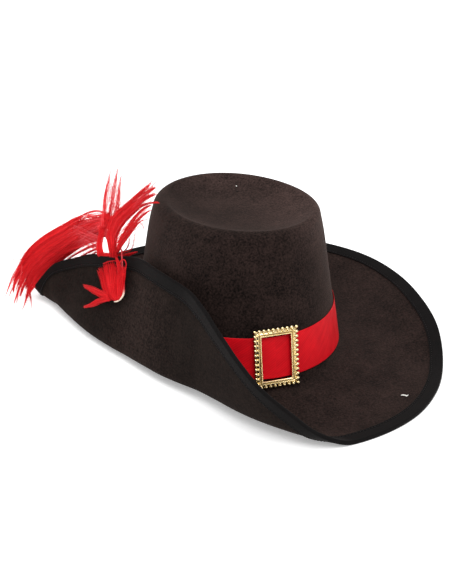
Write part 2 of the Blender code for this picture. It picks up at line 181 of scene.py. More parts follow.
# Brim sections, one row for each angle where it leaves the crown. The fold and
# the edge give distance from the crown axis and height above the floor in
# millimetres, and the swing is how far round the edge has moved in degrees.
BrimRow = namedtuple("BrimRow", "root fold_out fold_up edge_out edge_up edge_swing")
BRIM = [
    BrimRow(-165, 150, -2, 198, 7, 0),
    BrimRow(-152, 155, -2, 197, 7, 0),
    BrimRow(-142, 170, -3, 198, 8, 0),
    BrimRow(-134, 188, -4, 199, 14, 2),
    BrimRow(-125, 186, -4, 180, 39, -7),
    BrimRow(-115, 170, -5, 153, 54, -15),
    BrimRow(-105, 151, -5, 131, 67, -20),
    BrimRow(-95, 131, -4, 108, 78, -20),
    BrimRow(-84, 114, -2, 87, 90, -14),
    BrimRow(-72, 106, 1, 84, 95, 0),
    BrimRow(-60, 106, 2, 93, 95, 13),
    BrimRow(-50, 108, 3, 114, 92, 16),
    BrimRow(-40, 112, 4, 140, 82, 15),
    BrimRow(-30, 124, 2, 161, 70, 11),
    BrimRow(-20, 143, 0, 176, 53, 7),
    BrimRow(-10, 165, 0, 184, 33, 4.5),
    BrimRow(0, 180, 0, 192, 16, 1),
    BrimRow(10, 174, 0, 196, 3, 0),
    BrimRow(30, 150, 3, 196, 3, 0),
    BrimRow(45, 150, 3, 191, 3, 0),
    BrimRow(60, 145, 3, 185, 5, 0),
    BrimRow(75, 140, 3, 181, 15, 0),
    BrimRow(90, 135, 4, 179, 20, 0),
    BrimRow(105, 140, 4, 183, 21, 0),
    BrimRow(120, 145, 4, 189, 20, 0),
    BrimRow(135, 145, 4, 190, 19, 0),
    BrimRow(150, 148, 4, 193, 16, 0),
    BrimRow(165, 150, 0, 196, 12, 0),
    BrimRow(180, 150, -2, 197, 9, 0),
]

# The plume is placed on the photograph. Each of its places is given as pixels across and
# down, with millimetres of depth: for the spray and the crest how far behind the hat's axis, for
# the vane how far behind its own lean, and for the tuft how far off the felt.

# Middle of the vane: place in the photograph, and half its width and thickness there in millimetres.
Row = namedtuple("Row", "across down wide thick")
VANE = [
    Row(105.4, 224.5, 5, 1.5),
    Row(101.5, 224.4, 10.4, 3),
    Row(96, 225.4, 12.8, 3.5),
    Row(84, 228.8, 13.6, 3.5),
    Row(68.5, 238.5, 13.6, 3.5),
    Row(51, 250, 14.3, 3.5),
    Row(36, 263.5, 14, 3.5),
    Row(27, 276.5, 12.2, 3.5),
    Row(21, 288, 10.4, 3),
    Row(18.5, 297.5, 9, 2),
]
STEM_LOW = Vector((-104.5, 44.0, 88.0))
STEM_HIGH = Vector((-104.5, 51.0, 120.0))
VANE_COUNT = 1250
VANE_CLUMPS = 26
VANE_CROSSING = 0.18

# Lean of the vane: how far behind the hat's axis it is at distances to the left of the stem's
# foot, in millimetres. The foot's place is in pixels, and PIXEL is the size of one there in
# millimetres.
STEM_FOOT_ACROSS = 118
PIXEL = 0.892
VANE_LEFT = (-12, 0, 5, 10, 19, 30, 42, 51, 60, 72, 80, 90, 100)
VANE_BEHIND = (1, 5, 13, 22, 38, 52, 64, 71, 75, 77, 74, 66, 55)
VANE_LOWEST = 2.4

# A bunch of barbs: how many, how wide it is in millimetres at its start, middle and end, how
# thick, how ragged its tips are, how strongly they gather in clumps, the radius of a barb,
# how much paler than the rest it is, and the places that it runs through.
Bunch = namedtuple("Bunch", "name count wides thick ragged clumped radius tone places")

# Loose straight barbs: each starts between two places and ends between two others, and
# "crossed" is how freely a start pairs with an end.
Fan = namedtuple("Fan", "name count radius crossed tone start_low start_high end_low end_high")
VANE_BUNCHES = [
    Bunch("low left one", 34, (1.2, 1.3, 1.0), 0.9, 0.2, 0.4, 0.16, 0, [
        (99, 245.5, 0), (92, 246.3, 0), (83, 250.3, 0), (73, 256, 0), (62, 264, 2)]),
    Bunch("low left two", 26, (1.0, 1.2, 0.9), 0.8, 0.2, 0.4, 0.16, 0, [
        (100, 249, 0), (95, 249.8, 0), (88, 252.6, 0), (80, 257, 0), (72, 262, 1)]),
    Bunch("low left three", 20, (0.9, 0.9, 0.8), 0.8, 0.2, 0.4, 0.16, 0, [
        (101, 251.5, 0), (97, 252, 0), (92, 254.3, 0), (86, 258, 0)]),
    Bunch("low side", 60, (2.4, 3.0, 1.6), 1.4, 0.3, 0.4, 0.17, 0, [
        (99, 239, 0), (92, 240.5, 0), (83, 243.5, 0), (72, 248.5, 0), (60, 257, 0)]),
    Bunch("fringe", 22, (1.0, 1.5, 1.4), 1.0, 0.3, 0.5, 0.13, 0.4, [
        (106, 213, 2), (98, 211, 0), (90, 212, 0), (82, 215.3, 0), (72, 220, 0)]),
    Bunch("tip one", 20, (2.2, 1.2, 0.3), 0.6, 0.12, 0.7, 0.15, 0.1, [
        (30, 282, 0), (28, 291, 0), (25.5, 302, 0), (21, 312, 0)]),
    Bunch("tip two", 20, (2.0, 1.2, 0.3), 0.6, 0.12, 0.7, 0.15, 0.1, [
        (29, 280, 0), (28.5, 289.5, 0), (31, 299, 0), (31.4, 309.5, 0)]),
    Bunch("tip three", 22, (2.6, 1.8, 0.5), 0.6, 0.15, 0.7, 0.15, 0.1, [
        (25, 275, 0), (18.5, 290, 0), (13.6, 304.5, 0)]),
    Bunch("tip four", 22, (2.6, 1.8, 0.5), 0.6, 0.15, 0.7, 0.15, 0.1, [
        (20, 266, 0), (12.4, 279, 0), (5.2, 297, 0)]),
    Bunch("tip five", 16, (1.8, 1.2, 0.4), 0.6, 0.15, 0.7, 0.15, 0.1, [
        (23, 281, 0), (18.5, 292, 0), (16.5, 303.5, 0)]),
    Bunch("tip six", 14, (1.6, 1.2, 0.4), 0.6, 0.15, 0.7, 0.15, 0.1, [
        (20, 276, 0), (13, 287, 0), (9, 297, 0)]),
    Bunch("stray low", 4, (0.9, 0.6, 0.1), 0.3, 0.1, 0.4, 0.2, -0.3, [
        (24, 264, 0), (17.9, 270, 0), (9.8, 275.4, 0), (1.8, 281.6, 0)]),
    Bunch("stray side", 3, (0.5, 0.4, 0.5), 0.3, 0.1, 0.4, 0.18, -0.3, [
        (28, 258, 0), (20.6, 259.7, 0), (14, 259.7, 0), (6.5, 257.5, 0)]),
]
VANE_FANS = [
    Fan("hairs up", 96, 0.12, 0.22, 0.62, (101, 253, -3), (104, 237, -3), (82, 243, -7), (63, 221, -6)),
    Fan("hairs down", 64, 0.12, 0.2, 0.6, (104, 229, -3), (105, 213, -3), (74, 250, -6), (64, 231, -7)),
    Fan("top slits", 12, 0.12, 0.25, 0.5, (106, 219, 0), (106, 211, 0), (82, 224, 0), (80, 215, 0)),
    Fan("low left", 12, 0.14, 0.3, 0.2, (103, 254, 0), (101, 243, 0), (68, 261, 0), (63, 251, 0)),
    Fan("tip web", 16, 0.12, 0.4, 0.3, (34, 276, 0), (20, 264, 0), (29, 300, 0), (11, 290, 0)),
]
SPRAY_BUNCHES = [
    Bunch("upper", 100, (2.0, 2.4, 1.9), 1.6, 0.3, 0.3, 0.17, 0, [
        (112, 253, 2), (110, 238, 4), (112, 222, 0), (121.5, 210.5, -6), (133, 200.5, -14),
        (144, 190, -24), (154, 181, -32)]),
    Bunch("upper middle", 120, (2.0, 3.0, 2.1), 1.7, 0.25, 0.3, 0.18, 0, [
        (113, 253, 2), (111.5, 238, 3), (115, 222, -1), (126, 211, -8), (138, 200.5, -16),
        (148, 191.5, -26), (157.5, 186, -34)]),
    Bunch("lower middle", 90, (1.8, 2.4, 1.5), 1.5, 0.18, 0.35, 0.18, 0, [
        (114, 253, 2), (113, 238, 2), (118, 223, -2), (129, 211.5, -9), (141, 201, -19),
        (150, 196, -28), (159, 192.5, -35)]),
    Bunch("under", 50, (1.4, 1.8, 1.2), 1.2, 0.2, 0.45, 0.17, 0, [
        (115, 253, 2), (115, 238, 0), (121, 225, -4), (131, 214, -10), (142, 205.5, -20),
        (151, 203, -28), (160, 202.5, -36)]),
    Bunch("low", 70, (1.6, 1.9, 1.3), 1.2, 0.22, 0.45, 0.17, 0, [
        (117.5, 252, 0), (120, 241.5, -4), (126.5, 230, -8), (134.5, 218, -14), (143, 209, -22),
        (152, 204.5, -30)]),
    Bunch("low two", 40, (1.1, 1.4, 1.1), 0.9, 0.25, 0.45, 0.15, 0, [
        (118, 252, 0), (122.8, 242, -4), (129.5, 231.5, -10), (137.5, 220.5, -16), (146.5, 212.5, -24),
        (152, 210, -28)]),
    Bunch("fork", 20, (0.8, 1.0, 0.8), 0.7, 0.3, 0.45, 0.14, 0, [
        (118.5, 251, 0), (126, 240, -6), (134, 229, -13), (141, 221, -20), (149.5, 219, -27)]),
    Bunch("fork down", 8, (0.7, 0.6, 0.4), 0.4, 0.3, 0.45, 0.13, 0, [
        (134, 228, -13), (139, 222.5, -18), (143, 226, -21), (144.5, 231.5, -22)]),
    Bunch("stray high", 2, (0.5, 0.4, 0.2), 0.3, 0.1, 0.4, 0.17, 0, [
        (119, 206, -4), (130, 188.6, -12), (141, 175, -20)]),
    Bunch("stray tip one", 5, (0.9, 0.8, 0.4), 0.3, 0.2, 0.4, 0.16, 0.1, [
        (144, 191, -25), (150, 183.5, -30), (154, 177.5, -34)]),
    Bunch("stray tip two", 5, (0.9, 0.7, 0.3), 0.3, 0.2, 0.4, 0.16, 0.1, [
        (150, 188, -30), (156, 181, -35), (161.8, 172.2, -38)]),
    Bunch("wisp one", 6, (1.0, 1.4, 1.6), 0.4, 0.3, 0.3, 0.16, 0.2, [
        (122, 253, 6), (131.8, 249, 6), (134.5, 238, 4), (135.5, 229, 2)]),
    Bunch("wisp two", 6, (1.0, 1.2, 1.4), 0.4, 0.3, 0.3, 0.16, 0.2, [
        (119, 254, 6), (127, 248, 6), (129.6, 238, 4), (130, 231, 3)]),
    # The lower tone of this bunch is painted shade, for barbs in the shadow behind the brim's edge.
    Bunch("behind the edge", 40, (1.4, 1.8, 1.4), 0.9, 0.2, 0.5, 0.18, -0.3, [
        (116, 255.5, 8), (123, 255.6, 6), (130, 254.2, 3), (138, 251.8, 0)]),
]
SPRAY_FANS = [
    Fan("between", 34, 0.13, 0.2, 0.3, (117, 246, -2), (114, 236, 0), (149, 209, -26), (157, 194, -34)),
    Fan("below", 16, 0.12, 0.25, 0.1, (119, 252, 0), (119, 240, -2), (150, 219, -26), (151, 207, -28)),
    Fan("tips", 40, 0.12, 0.3, 0.6, (132, 211, -12), (131, 201, -12), (156, 191, -34), (152, 182, -32)),
]
CREST_BUNCHES = [
    Bunch("left stem", 150, (2.4, 1.9, 3.2), 1.7, 0.15, 0.3, 0.19, 0, [
        (101, 256, 4), (99.5, 248, 6), (99.8, 240, 9), (102, 230, 11), (106, 221, 12), (109, 212, 12)]),
    Bunch("right stem", 160, (2.9, 2.4, 3.2), 1.7, 0.15, 0.3, 0.19, 0, [
        (114.5, 257, 2), (113, 248, 2), (112.6, 240, 3), (111.5, 231, 6), (109, 222, 9), (106, 212, 11)]),
    Bunch("web", 80, (2.6, 3.8, 3.0), 1.2, 0.2, 0.3, 0.17, 0, [
        (118, 213, 4), (112, 220, 8), (105, 226, 11), (98, 234, 12)]),
    Bunch("foot", 60, (1.4, 1.8, 1.6), 1.4, 0.1, 0.3, 0.18, -0.1, [
        (97, 253, 6), (104, 254.5, 4), (112, 255, 2), (118, 257, 0)]),
    Bunch("one", 38, (2.8, 2.4, 1.3), 0.9, 0.4, 0.3, 0.13, 0.35, [
        (103.5, 228, 10), (104, 213, 12), (105.5, 196, 12), (108.8, 178, 12), (113.8, 155, 10)]),
    Bunch("two", 34, (2.6, 2.3, 1.2), 0.9, 0.4, 0.3, 0.13, 0.35, [
        (108, 228, 10), (110.5, 212, 12), (113.2, 194, 12), (116, 177, 12), (119.4, 159.5, 10)]),
    Bunch("three", 30, (2.4, 2.0, 1.1), 0.9, 0.4, 0.3, 0.13, 0.35, [
        (113, 228, 8), (117, 212, 8), (118.8, 197, 10), (119.4, 187, 11), (121.8, 172, 12)]),
]
CREST_FANS = [
    Fan("wisps", 42, 0.1, 0.3, 0.7, (103, 214, 12), (119, 214, 8), (109, 172, 12), (121, 181, 12)),
    Fan("wisps across", 22, 0.1, 0.3, 0.7, (114, 212, 10), (119, 212, 8), (109, 178, 12), (116, 168, 12)),
]
TUFT_BUNCHES = [
    Bunch("clump up", 96, (3.0, 3.0, 2.2), 1.2, 0.12, 0.4, 0.19, 0, [
        (109, 298, 8), (98, 293, 9), (90, 288.7, 9), (83.5, 286.3, 7)]),
    Bunch("clump down", 76, (2.4, 2.4, 1.8), 1.2, 0.1, 0.4, 0.19, -0.1, [
        (110, 298.5, 8), (99, 301, 8), (91, 305, 8), (83, 309.3, 6)]),
    Bunch("loop", 14, (0.6, 0.6, 0.6), 0.5, 0.05, 0.5, 0.17, -0.2, [
        (118.5, 268, 9), (120.5, 261, 9), (124.5, 259.5, 9), (126.3, 264.5, 8), (125, 275, 8),
        (123, 285, 8)]),
    Bunch("over the edge", 40, (1.8, 1.5, 1.3), 0.9, 0.1, 0.4, 0.17, -0.3, [
        (120.5, 274, 9), (119.5, 267, 9), (117.5, 261.5, 9), (115.5, 257.5, 8)]),
    Bunch("back over the felt", 14, (0.8, 0.7, 0.6), 0.5, 0.1, 0.3, 0.14, -0.3, [
        (103, 264, 7), (109, 261.5, 8), (115, 261, 8), (120, 262, 8)]),
]
# Ribs of the fan that lies on the outside of the turned-up brim, from its gathered foot.
TUFT_RIBS = [
    [(112.5, 299.5, 7), (106, 294, 8), (102.3, 287, 9), (100.6, 279, 9), (96.8, 270, 8), (94.6, 264, 7)],
    [(114, 300, 7), (109.2, 294, 9), (106.5, 285, 10), (105.2, 276, 10), (103, 267, 9), (101.8, 261, 7)],
    [(116, 300, 7), (113, 293, 9), (111.3, 284, 11), (110.2, 275, 10), (109.3, 267, 9), (108.5, 261, 7)],
    [(118, 300, 7), (118, 292, 9), (118, 283, 10), (117.8, 275, 10), (117.5, 268, 9), (116.5, 263, 7)],
    [(120, 299, 7), (121.8, 291, 8), (123, 283, 9), (124, 275, 9), (124.6, 268, 8), (125, 263, 7)],
]
TUFT_COUNT = 520
TUFT_SPIKES = 19

# Part of the turned-up brim where places on the felt are looked up: angles and shares of its width.
FLAP_ANGLES = np.arange(-108.0, -80.0, 0.5)
FLAP_SHARES = np.linspace(0.70, 1.0, 61)
FLAP_NEAREST = 4

# Quill in millimetres, from its cut end, up the outside of the brim and over the edge.
QUILL = [
    (-108.7, 12.4, 51.6), (-106.8, 8.6, 53.8), (-104.4, 5.4, 57.8), (-102.6, 4.3, 62.4),
    (-101.7, 6.2, 67.2), (-100.2, 12.0, 72.5), (-98.8, 19.8, 77.0), (-97.4, 26.0, 82.6),
    (-96.2, 31.2, 88.0), (-95.6, 34.4, 89.8), (-97.6, 40.5, 88.6), (-98.9, 48.5, 91.0),
    (-100.0, 55.0, 95.0), (-101.5, 61.8, 99.2),
]
QUILL_RADII = ((0.0, 0.35), (0.05, 0.7), (0.3, 0.95), (1.0, 0.6))
QUILL_STEPS = 60


def smoothstep(value):
    """Ease from 0 to 1 as the value goes from 0 to 1."""
    value = np.clip(value, 0.0, 1.0)
    return value * value * (3 - 2 * value)


def around(angle, distance, height):
    """Point at an angle round the hat in degrees: 0 is the front and 90 is +X."""
    turn = math.radians(angle)
    return Vector((distance * math.sin(turn), -distance * math.cos(turn), height))


def oval(angle, long, wide):
    """Radius of an oval at an angle round the hat."""
    turn = math.radians(angle)
    return 1.0 / math.hypot(math.sin(turn) / wide, math.cos(turn) / long)


@lru_cache(maxsize=None)
def brim_row(angle):
    """Smooth curves round the hat through the columns of the brim table."""
    xs = [row.root for row in BRIM]
    xs = [x - 360 for x in xs[-2:]] + xs + [x + 360 for x in xs[:2]]
    at = (angle - xs[1]) % 360 + xs[1]
    i = max(k for k in range(1, len(xs) - 2) if xs[k] <= at)
    run = xs[i + 1] - xs[i]
    u = (at - xs[i]) / run
    values = []
    for column in BrimRow._fields[1:]:
        ys = [getattr(row, column) for row in BRIM]
        ys = ys[-2:] + ys + ys[:2]
        first_slope = (ys[i + 1] - ys[i - 1]) / (xs[i + 1] - xs[i - 1])
        second_slope = (ys[i + 2] - ys[i]) / (xs[i + 2] - xs[i])
        between = (1 + 2 * u) * (1 - u) ** 2 * ys[i] + u * u * (3 - 2 * u) * ys[i + 1]
        values.append(between + (u * (1 - u) ** 2 * first_slope - u * u * (1 - u) * second_slope) * run)
    return BrimRow(angle, *values)


def wall_point(angle, height, out=0.0):
    """Point on the outside of the crown wall, moved straight out by a distance."""
    share = height / CROWN_HEIGHT
    long = BASE_LONG + (TOP_LONG - BASE_LONG) * share + out
    wide = BASE_WIDE + (TOP_WIDE - BASE_WIDE) * share + out
    return CROWN_PLACE @ around(angle, oval(angle, long, wide), height)


def rim_round(angle):
    """Radius of the rounded top edge, tighter on the front right."""
    near = max(0.0, math.cos(math.radians(angle - RIM_TIGHTEST_AT)))
    return RIM_ROUND - RIM_TIGHTER * near * near


def top_point(angle, inset, height, share=1.0):
    """Point on the crown's top or rounded rim, inset from the outline of the wall."""
    radius = oval(angle, TOP_LONG - inset, TOP_WIDE - inset) * share
    point = around(angle, radius, height)
    point.z -= TOP_RISE_TO_LEFT * point.x + TOP_RISE_TO_FRONT * point.y
    return CROWN_PLACE @ point


def root_height(angle):
    """Height where the brim leaves the crown, lower at the front under the buckle."""
    off = abs((angle + 180.0) % 360.0 - 180.0)
    return -ROOT_DIP * smoothstep(ROOT_DIP_EASE - off / ROOT_DIP_REACH)


@lru_cache(maxsize=None)
def brim_point(angle, along):
    """Point on the upper face of the brim; along runs from 0 at the crown to 1 at the edge."""
    row = brim_row(angle)
    start = wall_point(angle, root_height(angle), ROOT_ROUND)
    fold = around(angle + row.edge_swing * FOLD_SWING_SHARE, row.fold_out * MM, row.fold_up * MM)
    edge = around(angle + row.edge_swing, row.edge_out * MM, row.edge_up * MM)
    first = start.lerp(fold, FOLD_TIGHTNESS)
    second = edge.lerp(fold, FOLD_TIGHTNESS)
    t = along
    s = 1 - t
    point = start * s ** 3 + first * 3 * s * s * t + second * 3 * s * t * t + edge * t ** 3
    tape = TAPE_FAR * smoothstep((along - TAPE_EASE_FROM) / TAPE_EASE_RUN)
    point.z = max(point.z, FELT + tape)
    return point.freeze()


def brim_frame(angle, along):
    """Point, outward direction along the section and upper-face normal of the brim."""
    step = 0.01
    point = brim_point(angle, along)
    out = (brim_point(angle, along) - brim_point(angle, along - step)).normalized()
    side = (brim_point(angle + 1, along) - brim_point(angle - 1, along)).normalized()
    return point, out, out.cross(side).normalized()


def camera_axes():
    """Right, up and back directions of the camera."""
    turn, height, roll = (math.radians(a) for a in (CAMERA_TURN, CAMERA_HEIGHT, CAMERA_ROLL))
    back = Vector((math.sin(turn) * math.cos(height), -math.cos(turn) * math.cos(height), math.sin(height)))
    level = Vector((math.cos(turn), math.sin(turn), 0))
    upright = back.cross(level)
    right = level * math.cos(roll) + upright * math.sin(roll)
    return right, upright * math.cos(roll) - level * math.sin(roll), back


RIGHT, UP, BACK = camera_axes()
REACH = CAMERA_LENS / SENSOR * PICTURE_HIGH


def sight(across, down):
    """Direction from the camera to a place in the photograph."""
    return RIGHT * (across - PICTURE_WIDE / 2) - UP * (down - PICTURE_HIGH / 2) - BACK * REACH


def at_height(across, down, height):
    """Point in millimetres seen at a place in the photograph, at a height above the floor."""
    line = sight(across, down)
    return (CAMERA_PLACE + line * ((height * MM - CAMERA_PLACE.z) / line.z)) / MM


def at_depth(across, down, behind):
    """Point in millimetres seen at a place in the photograph, this far behind the hat's axis."""
    away = around(CAMERA_TURN + 180.0, 1.0, 0.0)
    line = sight(across, down)
    return (CAMERA_PLACE + line * ((behind * MM - CAMERA_PLACE.dot(away)) / line.dot(away))) / MM


def on_vane(across, down, behind):
    """Point of the vane in millimetres; its lowest tips stay just above the floor."""
    lean = np.interp((STEM_FOOT_ACROSS - across) * PIXEL, VANE_LEFT, VANE_BEHIND)
    point = at_depth(across, down, lean + behind)
    return at_height(across, down, VANE_LOWEST) if point.z < VANE_LOWEST else point


@lru_cache(maxsize=None)
def flap_grid():
    """Points and normals of the turned-up brim's upper face."""
    frames = [brim_frame(angle, share) for angle in FLAP_ANGLES for share in FLAP_SHARES]
    return [np.array([tuple(row[k]) for row in frames]) for k in (0, 2)]


def on_flap(across, down, off):
    """Point in millimetres off the outside of the turned-up brim, seen at a place in the photograph."""
    points, normals = flap_grid()
    outside = points - normals * (FELT + off * MM)
    away = outside - np.array(CAMERA_PLACE)
    scale = REACH / -(away @ np.array(BACK))
    miss_across = PICTURE_WIDE / 2 + away @ np.array(RIGHT) * scale - across
    miss_down = PICTURE_HIGH / 2 - away @ np.array(UP) * scale - down
    miss = np.hypot(miss_across, miss_down)
    near = np.argsort(miss)[:FLAP_NEAREST]
    share = 1.0 / (miss[near] + 0.001)
    return share @ outside[near] / share.sum() / MM


def column_angles():
    """Angles of the columns, set closer together near the tip of the turned-up side."""
    steps = 1440
    total = [0.0]
    for k in range(steps):
        off = (k + 0.5) * 360.0 / steps - 360.0 - TIP_ANGLE
        off = (off + 180.0) % 360.0 - 180.0
        total.append(total[-1] + 1.0 + TIP_EXTRA * math.exp(-((off / TIP_SPREAD) ** 2)))
    wanted = [total[-1] * i / COLUMNS for i in range(COLUMNS)]
    return [float(a) for a in np.interp(wanted, total, np.linspace(-360.0, 0.0, steps + 1))]


def tape_start(angle):
    """How far along the brim section the bound edge begins."""
    steps = 60
    left = TAPE_WIDTH
    last = brim_point(angle, 1.0)
    for k in range(steps - 1, 0, -1):
        point = brim_point(angle, k / steps)
        piece = (point - last).length
        if piece >= left:
            return (k + 1 - left / piece) / steps
        left -= piece
        last = point
    return 0.5


# Materials.

def feed(tree, socket, value):
    """Links the output of another node to a socket, or sets a constant value."""
    if isinstance(value, bpy.types.NodeSocket):
        tree.links.new(value, socket)
    else:
        socket.default_value = value


def add(tree, kind, settings=None, **inputs):
    """New node in a tree; an input is named, or numbered as i0, i1 and so on."""
    made = tree.nodes.new(kind)
    for name, value in (settings or {}).items():
        setattr(made, name, value)
    for name, value in inputs.items():
        numbered = name[0] == "i" and name[1:].isdigit()
        feed(tree, made.inputs[int(name[1:]) if numbered else name.replace("_", " ")], value)
    return made


def maths(tree, operation, first, second=0.5, third=0.5):
    """Output of a Math node."""
    return add(tree, "ShaderNodeMath", {"operation": operation}, i0=first, i1=second, i2=third).outputs[0]


def scaled(tree, vector, amounts):
    """A vector multiplied by three amounts."""
    return add(tree, "ShaderNodeVectorMath", {"operation": "MULTIPLY"}, i0=vector, i1=amounts).outputs[0]


def mixed(tree, factor, first, second):
    """Colour between two colours."""
    made = add(tree, "ShaderNodeMix", {"data_type": "RGBA"})
    for number, value in ((0, factor), (6, first), (7, second)):
        feed(tree, made.inputs[number], value)
    return made.outputs[2]


def ramp(tree, value, start, end):
    """Goes from 0 to 1 as a value goes from its start to its end."""
    return add(tree, "ShaderNodeMapRange", Value=value, i1=start, i2=end).outputs[0]


def group(name, inputs, outputs):
    """Empty shader node group with named inputs and outputs."""
    tree = bpy.data.node_groups.new(name, "ShaderNodeTree")
    for label, kind, value in inputs:
        socket = tree.interface.new_socket(label, in_out="INPUT", socket_type=kind)
        if value is not None:
            socket.default_value = value
    for label, kind in outputs:
        tree.interface.new_socket(label, in_out="OUTPUT", socket_type=kind)
    return tree, tree.nodes.new("NodeGroupInput").outputs, tree.nodes.new("NodeGroupOutput").inputs


def noise_value(tree, vector, scale, detail=3.0, roughness=0.5):
    """Grey value of a noise pattern."""
    made = add(tree, "ShaderNodeTexNoise", Vector=vector, Scale=scale, Detail=detail, Roughness=roughness)
    return made.outputs[0]


def nap_group():
    """Short pile: fine tufts, brushed patches and upright streaks, as a shade and a height."""
    tree, given, out = group("nap", [
        ("Vector", "NodeSocketVector", None),
        ("Tuft scale", "NodeSocketFloat", 420.0),
        ("Patch scale", "NodeSocketFloat", 38.0),
        ("Streaks", "NodeSocketFloat", 0.3),
        ("Contrast", "NodeSocketFloat", 1.5),
    ], [("Shade", "NodeSocketFloat"), ("Height", "NodeSocketFloat")])
    tufts = noise_value(tree, given["Vector"], given["Tuft scale"], 4.0, 0.65)
    patches = noise_value(tree, given["Vector"], given["Patch scale"], 3.0, 0.55)
    upright = noise_value(tree, scaled(tree, given["Vector"], (1.0, 1.0, 0.12)), 330.0, 3.0, 0.6)
    level = noise_value(tree, scaled(tree, given["Vector"], (0.2, 0.2, 1.0)), 260.0, 2.0, 0.6)
    streaks = maths(tree, "MULTIPLY", maths(tree, "ADD", upright, level), given["Streaks"])
    centred = maths(tree, "MULTIPLY", maths(tree, "SUBTRACT", tufts, 0.5), given["Contrast"])
    shade = maths(tree, "ADD", centred, maths(tree, "MULTIPLY", patches, 0.9))
    shade = maths(tree, "ADD", shade, streaks)
    half = maths(tree, "MULTIPLY_ADD", given["Streaks"], -1.0, 0.05)
    tree.links.new(maths(tree, "ADD", shade, half), out["Shade"])
    tree.links.new(maths(tree, "MULTIPLY_ADD", tufts, 0.8, streaks), out["Height"])
    return tree


def fibre_group():
    """Fine parallel threads along one direction of a flat map, crossed by finer ones."""
    tree, given, out = group("fibres", [
        ("Vector", "NodeSocketVector", None),
        ("Thread scale", "NodeSocketFloat", 900.0),
        ("Slant", "NodeSocketFloat", 0.6),
        ("Unevenness", "NodeSocketFloat", 0.4),
    ], [("Shade", "NodeSocketFloat"), ("Height", "NodeSocketFloat")])
    flat = given["Vector"]
    about_z = {"rotation_type": "Z_AXIS"}
    turn = add(tree, "ShaderNodeVectorRotate", about_z, Vector=flat, Angle=given["Slant"]).outputs[0]
    parts = add(tree, "ShaderNodeSeparateXYZ", i0=turn).outputs
    warp = add(tree, "ShaderNodeSeparateXYZ", i0=flat).outputs
    finer = maths(tree, "MULTIPLY", given["Thread scale"], 2.1)
    one = maths(tree, "SINE", maths(tree, "MULTIPLY", parts[0], given["Thread scale"]))
    two = maths(tree, "SINE", maths(tree, "MULTIPLY", warp[1], finer))
    woven = maths(tree, "MULTIPLY_ADD", one, 0.14, maths(tree, "MULTIPLY_ADD", two, 0.12, 0.5))
    uneven = noise_value(tree, scaled(tree, turn, (1.0, 0.1, 1.0)), 260.0, 3.0, 0.6)
    wide = noise_value(tree, flat, 60.0, 2.0, 0.5)
    centred = maths(tree, "SUBTRACT", maths(tree, "ADD", uneven, wide), 1.0)
    shift = maths(tree, "MULTIPLY", centred, given["Unevenness"])
    tree.links.new(maths(tree, "ADD", woven, shift), out["Shade"])
    tree.links.new(woven, out["Height"])
    return tree


NAP = nap_group()
FIBRES = fibre_group()


def new_material(name):
    """Material with a Principled shader; returns it, its tree and the shader."""
    mat = bpy.data.materials.new(name)
    mat.use_nodes = True
    return mat, mat.node_tree, mat.node_tree.nodes["Principled BSDF"]


def effect(tree, kind, vector, **values):
    """One of the shared groups in a material, reading a vector."""
    made = add(tree, "ShaderNodeGroup", {"node_tree": kind})
    tree.links.new(vector, made.inputs["Vector"])
    for name, value in values.items():
        made.inputs[name.replace("_", " ")].default_value = value
    return made.outputs


def set_values(shader, **values):
    """Constant values on the shader's own sockets."""
    for name, value in values.items():
        shader.inputs[name.replace("_", " ")].default_value = value


def bumped(tree, shader, height, strength, distance):
    """Surface relief from a height."""
    bump = add(tree, "ShaderNodeBump", Strength=strength, Distance=distance, Height=height)
    tree.links.new(bump.outputs[0], shader.inputs["Normal"])


def coloured(tree, shader, colour, shade, spread, base):
    """Colour of a surface, and a roughness that goes with its shade."""
    tree.links.new(colour, shader.inputs["Base Color"])
    tree.links.new(maths(tree, "MULTIPLY_ADD", shade, spread, base), shader.inputs["Roughness"])


def object_place(tree):
    """Object coordinates."""
    return add(tree, "ShaderNodeTexCoord").outputs["Object"]


def felt_material():
    """Black flocked felt with a brown cast, brushed in patches, with painted light making the top paler
    towards its right.
    """
    mat, tree, shader = new_material("black flocked felt")
    place = object_place(tree)
    nap = effect(tree, NAP, place, Tuft_scale=620.0, Patch_scale=42.0, Streaks=0.45, Contrast=2.8)
    across, along, height = add(tree, "ShaderNodeSeparateXYZ", i0=place).outputs
    # Painted light: the crown's top, more so towards its right, is mixed towards the paler colour below.
    high = ramp(tree, height, 0.110, 0.134)
    to_right = ramp(tree, maths(tree, "MULTIPLY_ADD", along, 0.4, across), -0.017, 0.04)
    painted_top_light = maths(tree, "MULTIPLY", high, to_right)
    deep = mixed(tree, nap["Shade"], (0.0004, 0.0003, 0.0002, 1), (0.0250, 0.0150, 0.0130, 1))
    pale = mixed(tree, nap["Shade"], (0.0090, 0.0054, 0.0048, 1), (0.0590, 0.0360, 0.0320, 1))
    coloured(tree, shader, mixed(tree, painted_top_light, deep, pale), nap["Shade"], 0.12, 0.84)
    set_values(shader, Specular_IOR_Level=0.06, Sheen_Weight=0.085, Sheen_Roughness=0.5)
    set_values(shader, Sheen_Tint=(0.66, 0.45, 0.39, 1))
    bumped(tree, shader, nap["Height"], 0.55, 0.0007)
    return mat


